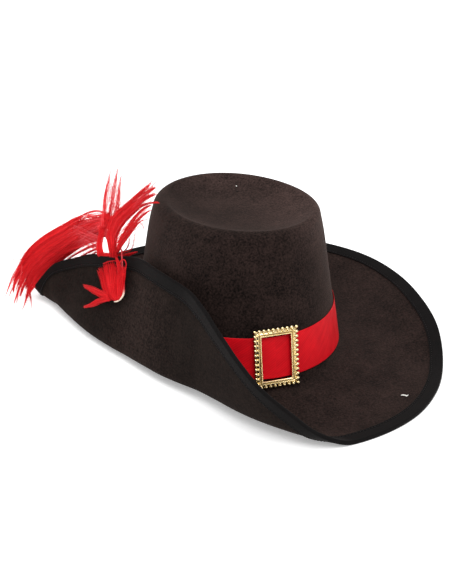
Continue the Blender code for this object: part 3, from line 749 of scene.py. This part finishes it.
def underside_material():
    """Underside and inside of the same felt, darker as painted shade, with a painted sheen making it paler
    on the turned-up side.
    """
    mat, tree, shader = new_material("black felt underside")
    place = object_place(tree)
    nap = effect(tree, NAP, place, Tuft_scale=560.0, Patch_scale=30.0, Streaks=0.6, Contrast=2.6)
    across, along = add(tree, "ShaderNodeSeparateXYZ", i0=place).outputs[:2]
    # Painted sheen: a patch on the outside of the turned-up side is mixed towards a paler colour.
    patch = maths(tree, "MULTIPLY", ramp(tree, along, 0.030, -0.005), ramp(tree, along, -0.075, -0.040))
    painted_sheen = maths(tree, "MULTIPLY", patch, ramp(tree, across, -0.07, -0.09))
    # Both colours are darker than the upper felt's: painted shade for the faces that turn down and away
    # from the light.
    deep = mixed(tree, nap["Shade"], (0.0003, 0.0002, 0.0002, 1), (0.0125, 0.0085, 0.0070, 1))
    pale = mixed(tree, nap["Shade"], (0.0012, 0.0008, 0.0007, 1), (0.0260, 0.0165, 0.0140, 1))
    coloured(tree, shader, mixed(tree, painted_sheen, deep, pale), nap["Shade"], 0.1, 0.88)
    set_values(shader, Specular_IOR_Level=0.04, Sheen_Weight=0.04, Sheen_Roughness=0.6)
    set_values(shader, Sheen_Tint=(0.66, 0.47, 0.41, 1))
    bumped(tree, shader, nap["Height"], 0.5, 0.0007)
    return mat


def tape_material():
    """Black velvet tape, smoother and cooler than the felt."""
    mat, tree, shader = new_material("black velvet tape")
    nap = effect(tree, NAP, object_place(tree), Tuft_scale=760.0, Patch_scale=70.0, Streaks=0.15)
    colour = mixed(tree, nap["Shade"], (0.0004, 0.0003, 0.0003, 1), (0.0062, 0.0050, 0.0050, 1))
    coloured(tree, shader, colour, nap["Shade"], 0.14, 0.74)
    set_values(shader, Specular_IOR_Level=0.08, Sheen_Weight=0.06, Sheen_Roughness=0.4)
    set_values(shader, Sheen_Tint=(0.62, 0.55, 0.52, 1))
    bumped(tree, shader, nap["Height"], 0.4, 0.0004)
    return mat


def thread_material():
    """Black sewing thread."""
    mat, tree, shader = new_material("black thread")
    nap = effect(tree, NAP, object_place(tree), Tuft_scale=2400.0, Patch_scale=200.0, Streaks=0.0)
    colour = mixed(tree, nap["Shade"], (0.0015, 0.0012, 0.0011, 1), (0.009, 0.007, 0.0066, 1))
    coloured(tree, shader, colour, nap["Shade"], 0.2, 0.35)
    set_values(shader, Specular_IOR_Level=0.2)
    return mat


def ribbon_material():
    """Red ribbon with a fine slanted weave, running along its own map."""
    mat, tree, shader = new_material("red ribbon")
    place = add(tree, "ShaderNodeUVMap", {"uv_map": "ribbon"}).outputs[0]
    weave = effect(tree, FIBRES, place, Thread_scale=3600.0, Slant=0.95, Unevenness=0.9)
    colour = mixed(tree, weave["Shade"], (0.42, 0.001, 0.006, 1), (0.74, 0.003, 0.010, 1))
    coloured(tree, shader, colour, weave["Shade"], -0.12, 0.62)
    set_values(shader, Specular_IOR_Level=0.12, Sheen_Weight=0.03, Sheen_Roughness=0.35)
    set_values(shader, Sheen_Tint=(1.0, 0.3, 0.3, 1))
    bumped(tree, shader, weave["Height"], 0.2, 0.0002)
    return mat


def gold_material():
    """Bright yellow plating, a little rougher in patches, with painted shade darkening the recesses of the
    casting.
    """
    mat, tree, shader = new_material("gold plate")
    nap = effect(tree, NAP, object_place(tree), Tuft_scale=900.0, Patch_scale=160.0, Streaks=0.1)
    # Painted shade: the recess layer mixes the colour towards dark brown in the casting's hollows.
    deep = add(tree, "ShaderNodeAttribute", {"attribute_name": "recess_shade"}).outputs["Fac"]
    bright = mixed(tree, nap["Shade"], (0.80, 0.60, 0.27, 1), (1.0, 0.86, 0.55, 1))
    coloured(tree, shader, mixed(tree, deep, bright, (0.08, 0.04, 0.008, 1)), nap["Shade"], 0.14, 0.14)
    set_values(shader, Metallic=1.0)
    bumped(tree, shader, nap["Height"], 0.12, 0.0002)
    return mat


def barb_material(name, dark, bright):
    """Dyed feather barbs; each has its own tone, and all are unevenly dyed; barbs of the highest tones are
    painted pale pink, standing in for light showing through them.
    """
    mat, tree, shader = new_material(name)
    tone = add(tree, "ShaderNodeAttribute", {"attribute_name": "tone"}).outputs["Fac"]
    fibres = effect(tree, NAP, object_place(tree), Tuft_scale=700.0, Patch_scale=55.0, Streaks=0.2)
    both = maths(tree, "MULTIPLY_ADD", fibres["Shade"], 0.45, maths(tree, "MULTIPLY", tone, 0.75))
    both = maths(tree, "SUBTRACT", both, 0.1)
    dyed = mixed(tree, both, dark, bright)
    # Painted light: the highest tones are mixed towards pale pink, for light that shows through thin barbs.
    colour = mixed(tree, ramp(tree, tone, 0.9, 1.7), dyed, (0.93, 0.19, 0.22, 1))
    coloured(tree, shader, colour, tone, 0.15, 0.5)
    set_values(shader, Specular_IOR_Level=0.12)
    return mat


def quill_material():
    """Horn-coloured quill, cream at its cut end and dyed red further up."""
    mat, tree, shader = new_material("pale quill")
    place = object_place(tree)
    fibres = effect(tree, NAP, place, Tuft_scale=900.0, Patch_scale=90.0, Streaks=0.5)
    height = add(tree, "ShaderNodeSeparateXYZ", i0=place).outputs[2]
    cream = mixed(tree, fibres["Shade"], (0.70, 0.50, 0.36, 1), (0.93, 0.82, 0.70, 1))
    colour = mixed(tree, ramp(tree, height, 0.0615, 0.0665), cream, (0.5, 0.012, 0.02, 1))
    coloured(tree, shader, colour, fibres["Shade"], 0.2, 0.32)
    bumped(tree, shader, fibres["Height"], 0.2, 0.0002)
    return mat


def plain_material(name, colour, roughness):
    """Pale lint and the studio floor: one pale colour with a faint unevenness."""
    mat, tree, shader = new_material(name)
    nap = effect(tree, NAP, object_place(tree), Tuft_scale=30.0, Patch_scale=3.0, Streaks=0.0)
    low = tuple(c * 0.97 for c in colour)
    tree.links.new(mixed(tree, nap["Shade"], (*low, 1), (*colour, 1)), shader.inputs["Base Color"])
    set_values(shader, Roughness=roughness, Specular_IOR_Level=0.1)
    return mat


# Shapes.

def shown(name, mesh, mat):
    """Object for a finished mesh, shaded smooth and riding on the hat."""
    obj = bpy.data.objects.new(name, mesh)
    bpy.context.scene.collection.objects.link(obj)
    mesh.materials.clear()
    mesh.materials.append(mat)
    mesh.shade_smooth()
    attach(obj, "root")
    return obj


def from_bmesh(name, bm, mat):
    """Object from a bmesh."""
    mesh = bpy.data.meshes.new(name)
    bm.to_mesh(mesh)
    bm.free()
    return shown(name, mesh, mat)


def rounded(obj):
    """Rounds an object by one level of subdivision."""
    made = obj.modifiers.new("rounding", "SUBSURF")
    made.levels = 1
    made.render_levels = 1


def loft(bm, rings, closed=False):
    """A ring of points drawn out through further rings; closed joins the last one to the first."""
    rows = [bmesh.ops.create_circle(bm, segments=len(rings[0]), radius=1.0)["verts"]]
    first = edges = list({e for v in rows[0] for e in v.link_edges})
    for _ in rings[1:]:
        made = bmesh.ops.extrude_edge_only(bm, edges=edges)["geom"]
        new = {g for g in made if isinstance(g, bmesh.types.BMVert)}
        edges = [g for g in made if isinstance(g, bmesh.types.BMEdge) and new.issuperset(g.verts)]
        nearby = [[e.other_vert(v) for e in v.link_edges] for v in rows[-1]]
        rows.append([next(v for v in verts if v in new) for verts in nearby])
    for row, ring in zip(rows, rings):
        for vert, place in zip(row, ring):
            vert.co = place
    if closed:
        bmesh.ops.bridge_loops(bm, edges=first + edges)
    return rows


def tube(name, paths, radii, mat, sides=0):
    """Mesh of round strands along paths in metres, with a radius at each point, and ends closed."""
    curve = bpy.data.curves.new(name, "CURVE")
    curve.dimensions = "3D"
    curve.bevel_depth = 1.0
    curve.bevel_resolution = sides
    for path, radius in zip(paths, radii):
        spline = curve.splines.new("POLY")
        spline.points.add(len(path) - 1)
        spline.points.foreach_set("co", np.column_stack([path, np.ones(len(path))]).ravel())
        spline.points.foreach_set("radius", np.asarray(radius, dtype=float))
    obj = bpy.data.objects.new(name, curve)
    bpy.context.scene.collection.objects.link(obj)
    mesh = bpy.data.meshes.new_from_object(obj.evaluated_get(bpy.context.evaluated_depsgraph_get()))
    mesh.name = name
    bpy.data.objects.remove(obj)
    bpy.data.curves.remove(curve)
    bm = bmesh.new()
    bm.from_mesh(mesh)
    bmesh.ops.holes_fill(bm, edges=[e for e in bm.edges if e.is_boundary], sides=0)
    bm.to_mesh(mesh)
    bm.free()
    return shown(name, mesh, mat)


def make_felt(mat, under):
    """Crown and brim in one felt shell, with its own look on the underside, darker as painted shade."""
    angles = column_angles()
    rings = []
    for share in DISH_RINGS:
        height = CROWN_HEIGHT - DISH_DEPTH * (1 - share ** DISH_STEEPNESS)
        rings.append([top_point(a, rim_round(a), height, share) for a in angles])
    for k in range(RIM_STEPS + 1):
        turn = math.radians(90 - 90 * k / RIM_STEPS)
        inward = 1 - math.cos(turn)
        down = 1 - math.sin(turn)
        rings.append([
            top_point(a, rim_round(a) * inward, CROWN_HEIGHT - rim_round(a) * down) for a in angles
        ])
    for share in WALL_RINGS:
        rings.append([wall_point(a, share * CROWN_HEIGHT) for a in angles])
    for rise, out in FOOT_RINGS:
        rings.append([wall_point(a, root_height(a) + rise * ROOT_ROUND, out * ROOT_ROUND) for a in angles])
    for k in range(BRIM_ROWS + 1):
        rings.append([brim_point(a, k / BRIM_ROWS) for a in angles])
    bm = bmesh.new()
    rows = loft(bm, rings)
    top = bmesh.ops.contextual_create(bm, geom=rows[0])["faces"][0]
    bmesh.ops.recalc_face_normals(bm, faces=bm.faces)
    if top.normal.z < 0:
        bmesh.ops.reverse_faces(bm, faces=bm.faces)
    felt = from_bmesh("felt", bm, mat)
    shell = felt.modifiers.new("thickness", "SOLIDIFY")
    shell.thickness = FELT
    shell.offset = -1.0
    shell.use_even_offset = True
    felt.data.materials.append(under)
    shell.material_offset = 1
    rounded(felt)
    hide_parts("hat_body")


def tape_line(angle, share, rise, upper):
    """Point on the tape: how far across it from its hem, and how far off the felt's face."""
    start = tape_start(angle)
    point, out, up = brim_frame(angle, start + (1 - start) * share)
    if upper:
        return point + up * rise
    return point - up * (FELT + rise)


def tape_ring(share, rise, upper):
    """Ring of such points right round the edge of the brim."""
    return [tape_line(a, share, rise, upper) for a in TAPE_ANGLES]


def make_binding(mat):
    """Velvet tape folded over the edge, thicker at its hems."""
    across = [
        (0.0, -0.25), (0.02, 0.2), (0.06, 0.35), (0.10, 0.2), (0.15, -0.15), (0.21, 0.0), (0.35, 0.1),
        (0.6, 0.1), (0.85, 0.0), (1.0, 0.0),
    ]
    rings = [tape_ring(share, TAPE_FAR + rise * MM, True) for share, rise in across]
    for turn in (60, 30, 0, -30, -60):
        ring = []
        for a in TAPE_ANGLES:
            point, out, up = brim_frame(a, 1.0)
            middle = point - up * (FELT / 2)
            turn_out = math.cos(math.radians(turn)) * TAPE_FAR
            turn_up = math.sin(math.radians(turn)) * (TAPE_FAR + FELT / 2)
            ring.append(middle + out * turn_out + up * turn_up)
        rings.append(ring)
    rings += [tape_ring(share, TAPE_FAR + rise * MM, False) for share, rise in reversed(across)]
    inside = (0.02, 0.5, 0.98)
    rings += [tape_ring(share, TAPE_GAP, False) for share in inside]
    rings += [tape_ring(share, TAPE_GAP, True) for share in reversed(inside)]
    for ring in rings:
        for point in ring:
            point.z = max(point.z, 0.0)
    bm = bmesh.new()
    loft(bm, rings, closed=True)
    bmesh.ops.recalc_face_normals(bm, faces=bm.faces)
    binding = from_bmesh("edge_tape", bm, mat)
    rounded(binding)
    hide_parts("brim_binding")


def make_stitches(mat):
    """A row of stitches on each face of the tape, each one rising from it and sinking in again."""
    along = np.array([0.0, 0.2, 0.5, 0.8, 1.0])
    lift = np.array([0.0, 0.8, 1.0, 0.8, 0.0])[:, None]
    radius = np.array([0.7, 1.0, 1.0, 1.0, 0.7]) * STITCH_RADIUS
    paths = []
    for upper in (True, False):
        low, high = (
            np.array([tuple(point) for point in tape_ring(STITCH_AT, TAPE_FAR + rise, upper)])
            for rise in (-STITCH_SUNK, STITCH_RISE)
        )
        low = np.vstack([low, low[:1]])
        high = np.vstack([high, high[:1]])
        run = np.concatenate([[0], np.cumsum(np.linalg.norm(np.diff(low, axis=0), axis=1))])
        count = round(run[-1] / STITCH_STEP)
        for k in range(count):
            want = run[-1] * k / count + along * STITCH_LONG
            path = sampled(want, run, low) * (1 - lift) + sampled(want, run, high) * lift
            if path[:, 2].min() > STITCH_RADIUS:
                paths.append(path)
    stitches = tube("edge_stitches", paths, [radius] * len(paths), mat)


def band_out(angle, height):
    """How far the ribbon's outside stands off the wall: its rolled edges and slack creases."""
    near = min(height - BAND_FROM, BAND_TO - height)
    half = BAND_EDGE / 2
    roll = BAND_ROLL * math.sqrt(max(0.0, 1 - ((near - half) / half) ** 2)) if near < BAND_EDGE else 0.0
    across = (height - BAND_FROM) / (BAND_TO - BAND_FROM)
    turn = math.radians(angle)
    place = Vector((math.sin(turn) * CREASE_TURNS, math.cos(turn) * CREASE_TURNS, across * CREASE_ACROSS))
    crease = noise.noise(place + Vector((across * CREASE_SLANT, 0, 0)))
    place = Vector((math.sin(turn) * RIPPLE_TURNS, math.cos(turn) * RIPPLE_TURNS, across * RIPPLE_ACROSS))
    slack = CREASE_DEEP * crease + RIPPLE_DEEP * noise.noise(place)
    hold = math.sin(math.pi * min(max(across, 0.0), 1.0)) ** EDGE_HOLD
    return BAND_GAP + BAND_THICK * BAND_FULLNESS + roll + hold * slack


def make_band(mat):
    """Ribbon round the crown, with a map that runs along it."""
    heights = np.linspace(BAND_FROM, BAND_TO, BAND_ROWS)
    angles = np.arange(BAND_COLUMNS) * 360.0 / BAND_COLUMNS
    profile = [(BAND_FROM, False)] + [(h, True) for h in heights] + [(BAND_TO, False)]
    rings = []
    for height, outer in profile:
        rings.append([wall_point(a, height, band_out(a, height) if outer else BAND_GAP) for a in angles])
    bm = bmesh.new()
    rows = loft(bm, rings, closed=True)
    bmesh.ops.recalc_face_normals(bm, faces=bm.faces)
    uv = bm.loops.layers.uv.new("ribbon")
    place = {v: (k, height) for row, (height, _) in zip(rows, profile) for k, v in enumerate(row)}
    unit = 2 * math.pi * BAND_MAP_RADIUS / BAND_COLUMNS
    for face in bm.faces:
        columns = [place[loop.vert][0] for loop in face.loops]
        wraps = max(columns) - min(columns) > BAND_COLUMNS / 2
        for loop in face.loops:
            k, height = place[loop.vert]
            if wraps and k < BAND_COLUMNS / 2:
                k += BAND_COLUMNS
            loop[uv].uv = (k * unit, height)
    band = from_bmesh("ribbon_band", bm, mat)
    rounded(band)
    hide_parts("hat_band")


HALF_ACROSS = BEAD_STEP * (BEADS_ACROSS - 1) / 2
HALF_DOWN = BEAD_STEP * (BEADS_DOWN - 1) / 2
FRAME_WIDE = HALF_ACROSS - WINDOW_WIDE / 2


def buckle_half(inset):
    """Half the width and half the height of the buckle, this far in from its outside."""
    return HALF_ACROSS - inset, HALF_DOWN - inset * (HALF_DOWN - WINDOW_HIGH / 2) / FRAME_WIDE


def border(inset, step, rise, shift=0.0):
    """Places of beads in a row right round the buckle."""
    across, down = buckle_half(inset)
    points = []
    for start, along, length in (
        ((-across, -down), (1, 0), 2 * across), ((across, -down), (0, 1), 2 * down),
        ((across, down), (-1, 0), 2 * across), ((-across, down), (0, -1), 2 * down),
    ):
        count = max(1, round(length / step))
        for k in range(count):
            s = length * (k + shift) / count
            points.append((start[0] + along[0] * s, start[1] + along[1] * s, rise))
    return points


def put_beads(bm, points, radius, columns, rows):
    """Balls at some places, added to the buckle's bmesh."""
    ball = bpy.data.meshes.new("bead")
    for place in points:
        one = bmesh.new()
        there = Matrix.Translation(place)
        bmesh.ops.create_uvsphere(one, u_segments=columns, v_segments=rows, radius=radius, matrix=there)
        one.to_mesh(ball)
        one.free()
        bm.from_mesh(ball)
    bpy.data.meshes.remove(ball)


def make_buckle(mat):
    """Cast frame with a sloping face, beads round its outside and milled lines at the window."""
    lip = FRAME_WIDE / MM
    profile = [
        (0.0, 0.0), (0.0, 1.3), (0.8, 1.9), (1.9, 2.2), (2.6, 2.9), (lip - 2.9, 3.1), (lip - 2.5, 3.15),
        (lip - 2.1, 1.7), (lip - 1.5, 1.7), (lip - 1.2, 3.3), (lip - 0.35, 3.3), (lip, 2.8), (lip, 0.0),
    ]
    rings = []
    for inset, rise in profile:
        across, down = buckle_half(inset * MM)
        corners = ((-across, -down), (across, -down), (across, down), (-across, down))
        rings.append([Vector((x, y, rise * MM)) for x, y in corners])
    bm = bmesh.new()
    loft(bm, rings, closed=True)
    bmesh.ops.recalc_face_normals(bm, faces=bm.faces)
    bmesh.ops.bevel(
        bm, geom=list(bm.edges), offset=BUCKLE_EDGE, segments=1, profile=0.5, affect="EDGES", material=-1,
        clamp_overlap=True,
    )
    mills = FRAME_WIDE - MILL_IN
    outer_mills = FRAME_WIDE - OUTER_MILL_IN
    put_beads(bm, border(0.0, BEAD_STEP, BEAD_RISE), BEAD_RADIUS, 16, 10)
    put_beads(bm, border(SEED_IN, BEAD_STEP, SEED_RISE, 0.5), SEED_RADIUS, 10, 6)
    put_beads(bm, border(mills, MILL_STEP, MILL_RISE), MILL_RADIUS, 6, 4)
    put_beads(bm, border(outer_mills, MILL_STEP, OUTER_MILL_RISE, 0.5), OUTER_MILL_RADIUS, 6, 4)
    # Painted shade: points low on the casting get a value that darkens their colour.
    deep = bm.verts.layers.float.new("recess_shade")
    for v in bm.verts:
        v[deep] = float(smoothstep((RECESS_TOP - v.co.z) / RECESS_DEEP))
    slope = math.atan((BASE_LONG - TOP_LONG) / CROWN_HEIGHT)
    radius = BASE_LONG + (TOP_LONG - BASE_LONG) * BUCKLE_CENTRE / CROWN_HEIGHT
    place = CROWN_PLACE @ Matrix.Translation((0, -(radius + BUCKLE_GAP), BUCKLE_CENTRE))
    bm.transform(place @ Matrix.Rotation(math.radians(90) - slope, 4, "X"))
    obj = from_bmesh("gilt_buckle", bm, mat)
    obj.data.set_sharp_from_angle(angle=math.radians(50))
    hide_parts("buckle")


# Plume.

def through(points, count):
    """Smooth path of evenly numbered points through a few given ones."""
    points = np.array(points, dtype=float)
    last = len(points) - 1
    at = np.linspace(0, last, count)
    i = np.minimum(at.astype(int), last - 1)
    u = (at - i)[:, None]
    a, b, c, d = (points[np.clip(i + j, 0, last)] for j in (-1, 0, 1, 2))
    return b + 0.5 * ((c - a) * u + (2 * a - 5 * b + 4 * c - d) * u ** 2 + (3 * b - 3 * c + d - a) * u ** 3)


PLUME_FACES = -20.0
FACES = np.array(around(PLUME_FACES, 1.0, 0.0))


def sampled(want, at, values):
    """Points or directions along a path, between the ones that are known."""
    return np.column_stack([np.interp(want, at, values[:, k]) for k in range(3)])


def sections(path):
    """Sideways and facing directions along a path."""
    ahead = np.gradient(path, axis=0)
    broad = np.cross(ahead, FACES)
    broad /= np.linalg.norm(broad, axis=1)[:, None]
    thin = np.cross(broad, ahead)
    thin /= np.linalg.norm(thin, axis=1)[:, None]
    return broad, thin


class Strands:
    """Collects strands in millimetres and makes them one piece."""

    def __init__(self, seed, place):
        self.rng = random.Random(seed)
        self.place = place
        self.paths = []
        self.radii = []
        self.tones = []

    def placed(self, places):
        """Points for some places in the photograph, to a tenth of a millimetre."""
        return np.array([self.place(*where) for where in places]).round(1)

    def put(self, path, radius, tone, tip=0.35):
        """One strand, kept above the floor and finer towards its tip."""
        path = np.array(path)
        path[:, 2] = np.maximum(path[:, 2], 0.6)
        fade = np.linspace(0, 1, len(path))
        self.paths.append(path * MM)
        self.radii.append(radius * MM * (1 - (1 - tip) * fade ** 2))
        self.tones.append(tone)

    def bunch(self, spec, points=11, known=40):
        """Barbs of one bunch, gathered in clumps towards their tips."""
        rng = self.rng
        fine = through(self.placed(spec.places), known)
        broad, thin = sections(fine)
        wide = through([(w,) for w in spec.wides], known)[:, 0]
        at = np.linspace(0, 1, known)
        clumps = []
        for _ in range(max(2, spec.count // 14)):
            clumps.append((rng.uniform(-0.8, 0.8), rng.uniform(-0.5, 0.5), rng.random()))
        for _ in range(spec.count):
            a = rng.gauss(0, 0.45)
            b = rng.gauss(0, 0.45)
            ca, cb, cr = rng.choice(clumps)
            stop = 1 - spec.ragged * (0.55 * cr + 0.45 * rng.random()) * 0.9
            want = np.linspace(0.04 * rng.random(), stop, points)
            gather = smoothstep((want - 0.5) / 0.5) * spec.clumped
            aa = a * (1 - gather) + ca * gather
            bb = b * (1 - gather) + cb * gather
            bend = rng.gauss(0, 0.25) * np.sin(want * rng.uniform(2, 5) + rng.uniform(0, 6))
            aside = (aa + bend * 0.5) * np.interp(want, at, wide)
            path = sampled(want, at, fine) + sampled(want, at, broad) * aside[:, None]
            path = path + sampled(want, at, thin) * (bb * spec.thick)[:, None]
            self.put(path, spec.radius * rng.uniform(0.7, 1.2), rng.random() + spec.tone)

    def fan(self, spec, points=9):
        """Loose barbs, each a little bowed."""
        rng = self.rng
        low, high, end_low, end_high = self.placed(spec[-4:])
        share = np.linspace(0, 1, points)[:, None]
        for _ in range(spec.count):
            begin = rng.random()
            end = min(max(begin + rng.gauss(0, spec.crossed), 0.0), 1.0)
            first = low * (1 - begin) + high * begin
            last = end_low * (1 - end) + end_high * end
            last = first + (last - first) * rng.uniform(0.72, 1.0)
            bulge = np.array([rng.gauss(0, 1) for _ in range(3)]) * np.linalg.norm(last - first) * 0.03
            path = first * (1 - share) + last * share + bulge * np.sin(np.pi * share)
            self.put(path, spec.radius * rng.uniform(0.8, 1.2), rng.random() + spec.tone)

    def piece(self, name, node, mat):
        """The finished piece, which stands for a node; each point keeps its strand's tone."""
        obj = tube(name, self.paths, self.radii, mat)
        tones = [np.broadcast_to(tone, len(path)) for tone, path in zip(self.tones, self.paths)]
        layer = obj.data.attributes.new("tone", "FLOAT", "POINT")
        layer.data.foreach_set("value", np.repeat(np.concatenate(tones), 4).astype(np.float32))
        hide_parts(node)


def make_vane(mat):
    """Long barbs from the stem, over to the left and down, ending in ragged clumps."""
    made = Strands(7, on_vane)
    rng = made.rng
    steps = 60
    fine = through(made.placed([(row.across, row.down, 0) for row in VANE]), steps)
    broad, thin = sections(fine)
    wide = through([(row.wide,) for row in VANE], steps)[:, 0]
    thick = through([(row.thick,) for row in VANE], steps)[:, 0]
    at = np.linspace(0, 1, steps)
    clumps = [(rng.uniform(-1, 1), rng.uniform(-0.7, 0.7), rng.random()) for _ in range(VANE_CLUMPS)]
    for _ in range(VANE_COUNT):
        a = rng.uniform(-1, 1)
        b = rng.uniform(-1, 1) * math.sqrt(1 - a * a)
        near = sorted(clumps, key=lambda c: abs(c[0] - a))[:4]
        ca, cb, cr = rng.choice(near)
        stop = 1.0 - 0.16 * cr - 0.10 * rng.random()
        late = a > 0.3 and rng.random() < 0.85
        want = np.linspace(rng.uniform(0.28, 0.42) if late else 0.0, stop, 15)
        gather = smoothstep((want - 0.58) / 0.36) * 0.85
        crossing = rng.random() < VANE_CROSSING
        a0 = rng.uniform(-1, 1) if crossing else a + rng.gauss(0, 0.12)
        settle = smoothstep(want / 0.4)
        aa = (a0 * (1 - settle) + a * settle) * (1 - gather) + ca * gather
        bb = b * (1 - gather) + cb * gather
        bend = rng.gauss(0, 0.05) * np.sin(want * rng.uniform(3, 7) + rng.uniform(0, 6))
        aside = (aa + bend) * np.interp(want, at, wide)
        deep = bb * np.interp(want, at, thick)
        path = sampled(want, at, fine) + sampled(want, at, broad) * aside[:, None]
        path = path + sampled(want, at, thin) * deep[:, None]
        share = min(max(0.5 + 0.5 * a0 + rng.gauss(0, 0.08), 0.0), 1.0)
        root = np.array(STEM_LOW.lerp(STEM_HIGH, share))
        ease = smoothstep(want / 0.22)[:, None]
        path = root * (1 - ease) + path * ease
        # The tone is raised near the stem, where the pale pink painted light falls.
        made.put(path, 0.2 * rng.uniform(0.7, 1.2), rng.random() + 0.5 * (1 - smoothstep(want / 0.5)))
    for spec in VANE_BUNCHES:
        made.bunch(spec)
    for spec in VANE_FANS:
        made.fan(spec)
    made.piece("plume_vane_barbs", "plume_vane", mat)


def make_bunches(name, node, bunches, fans, seed, mat):
    """One piece of the plume from a table of bunches and one of fans."""
    made = Strands(seed, at_depth)
    for spec in bunches:
        made.bunch(spec)
    for spec in fans:
        made.fan(spec)
    made.piece(name, node, mat)


def make_tuft(mat):
    """Fan of short barbs gathered at its foot, on the outside of the turned-up brim."""
    made = Strands(11, on_flap)
    rng = made.rng
    ribs = np.array([through(made.placed(rib), 14) for rib in TUFT_RIBS])
    away = np.array(around(-100.0, 1.0, 0.0)) * 0.9 + np.array((0, 0, -0.35))
    spikes = [(rng.random(), rng.random()) for _ in range(TUFT_SPIKES)]
    for _ in range(TUFT_COUNT):
        share = rng.random()
        spike = min(int(share * TUFT_SPIKES), TUFT_SPIKES - 1)
        lean, short = spikes[spike]
        tip = (spike + 0.2 + 0.6 * lean) / TUFT_SPIKES
        stop = 1 - 0.34 * short - 0.12 * rng.random()
        want = np.linspace(0, stop, 11)
        gather = smoothstep((want - 0.55) / 0.45) * 0.8
        across = (share * (1 - gather) + tip * gather) * (len(ribs) - 1)
        first = np.minimum(across.astype(int), len(ribs) - 2)
        along = want * (len(ribs[0]) - 1)
        low = np.minimum(along.astype(int), len(ribs[0]) - 2)
        u = (across - first)[:, None]
        w = (along - low)[:, None]
        path = (ribs[first, low] * (1 - w) + ribs[first, low + 1] * w) * (1 - u)
        path = path + (ribs[first + 1, low] * (1 - w) + ribs[first + 1, low + 1] * w) * u
        lift = rng.uniform(-2.6, 1.2) * np.sin(np.clip(want * 1.5 + 0.25, 0, 1.6))
        wave = rng.gauss(0, 0.35) * np.sin(want * rng.uniform(3, 6) + rng.uniform(0, 6))
        path = path + away * lift[:, None] + np.array((0, 0.7, 0.7)) * wave[:, None]
        made.put(path, 0.2 * rng.uniform(0.7, 1.2), rng.random() - 0.4, 0.5)
    for spec in TUFT_BUNCHES:
        made.bunch(spec)
    made.piece("plume_tuft_barbs", "plume_tuft", mat)


def make_quill(mat):
    """Quill that curls out below the tuft and goes up over the edge."""
    path = through(QUILL, QUILL_STEPS) * MM
    radius = np.interp(np.linspace(0, 1, QUILL_STEPS), *zip(*QUILL_RADII)) * MM
    obj = tube("quill", [path], [radius], mat, 3)
    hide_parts("plume_quill")


def make_marks(pale, dark):
    """White fleck of lint on the brim, and a pale speck on the crown with a dark speck beside it as its
    painted shadow.
    """
    lint = np.array([at_height(*mark) for mark in FLECK]) * MM
    tube("lint_fleck", [lint], [np.array(FLECK_RADII) * MM], pale, 1)
    for name, mark, radius, look in (
        ("pale_speck", PALE_SPECK, PALE_SPECK_RADIUS, pale),
        # The dark speck is painted shadow, cast by the pale speck.
        ("speck_shadow", SPECK_SHADOW, SPECK_SHADOW_RADIUS, dark),
    ):
        bm = bmesh.new()
        flat = Matrix.Translation(at_height(*mark) * MM) @ Matrix.Diagonal(SPECK_SHAPE)
        bmesh.ops.create_uvsphere(bm, u_segments=14, v_segments=8, radius=radius * MM, matrix=flat)
        from_bmesh(name, bm, look)


# Studio.

def make_camera():
    """Camera at the photograph's place."""
    data = bpy.data.cameras.new("camera")
    data.lens = CAMERA_LENS
    data.sensor_width = SENSOR
    data.clip_start = 0.05
    camera = bpy.data.objects.new("camera", data)
    place = Matrix((RIGHT, UP, BACK)).transposed().to_4x4()
    place.translation = CAMERA_PLACE
    camera.matrix_world = place
    bpy.context.scene.collection.objects.link(camera)
    bpy.context.scene.camera = camera


def make_light(name, place, size, power):
    """Soft square light aimed at the hat."""
    data = bpy.data.lights.new(name, "AREA")
    data.size = size
    data.energy = power
    light = bpy.data.objects.new(name, data)
    light.location = place
    light.rotation_euler = (Vector(place) - Vector(LIGHTS_AIM)).to_track_quat("Z", "Y").to_euler()
    bpy.context.scene.collection.objects.link(light)


def make_studio():
    """Pale floor, white surroundings and two soft lights."""
    bm = bmesh.new()
    bmesh.ops.create_grid(bm, x_segments=1, y_segments=1, size=6.0)
    mesh = bpy.data.meshes.new("floor")
    bm.to_mesh(mesh)
    bm.free()
    pale = plain_material("pale floor", (0.93, 0.93, 0.93), 0.9)
    shader = pale.node_tree.nodes["Principled BSDF"]
    set_values(shader, Emission_Color=(1, 1, 1, 1), Emission_Strength=FLOOR_GLOW)
    mesh.materials.append(pale)
    floor = bpy.data.objects.new("floor", mesh)
    bpy.context.scene.collection.objects.link(floor)
    world = bpy.data.worlds.new("surroundings")
    world.use_nodes = True
    set_values(world.node_tree.nodes["Background"], Color=(1, 1, 1, 1), Strength=SURROUNDINGS)
    bpy.context.scene.world = world
    make_light("key light", (-0.35, -1.1, 1.9), 1.2, 24)
    make_light("top light", (0.0, 0.2, 2.0), 1.4, 14)
    bpy.context.scene.view_settings.view_transform = "Standard"


make_camera()
make_studio()
make_felt(felt_material(), underside_material())
black = tape_material()
make_binding(black)
make_stitches(thread_material())
make_band(ribbon_material())
make_buckle(gold_material())
red = barb_material("red plume", (0.52, 0.003, 0.007, 1), (0.95, 0.026, 0.032, 1))
make_vane(red)
make_bunches("plume_spray_barbs", "plume_spray", SPRAY_BUNCHES, SPRAY_FANS, 3, red)
make_bunches("plume_crest_barbs", "plume_crest", CREST_BUNCHES, CREST_FANS, 5, red)
make_tuft(red)
make_quill(quill_material())
make_marks(plain_material("pale lint", (0.85, 0.83, 0.78), 0.8), black)
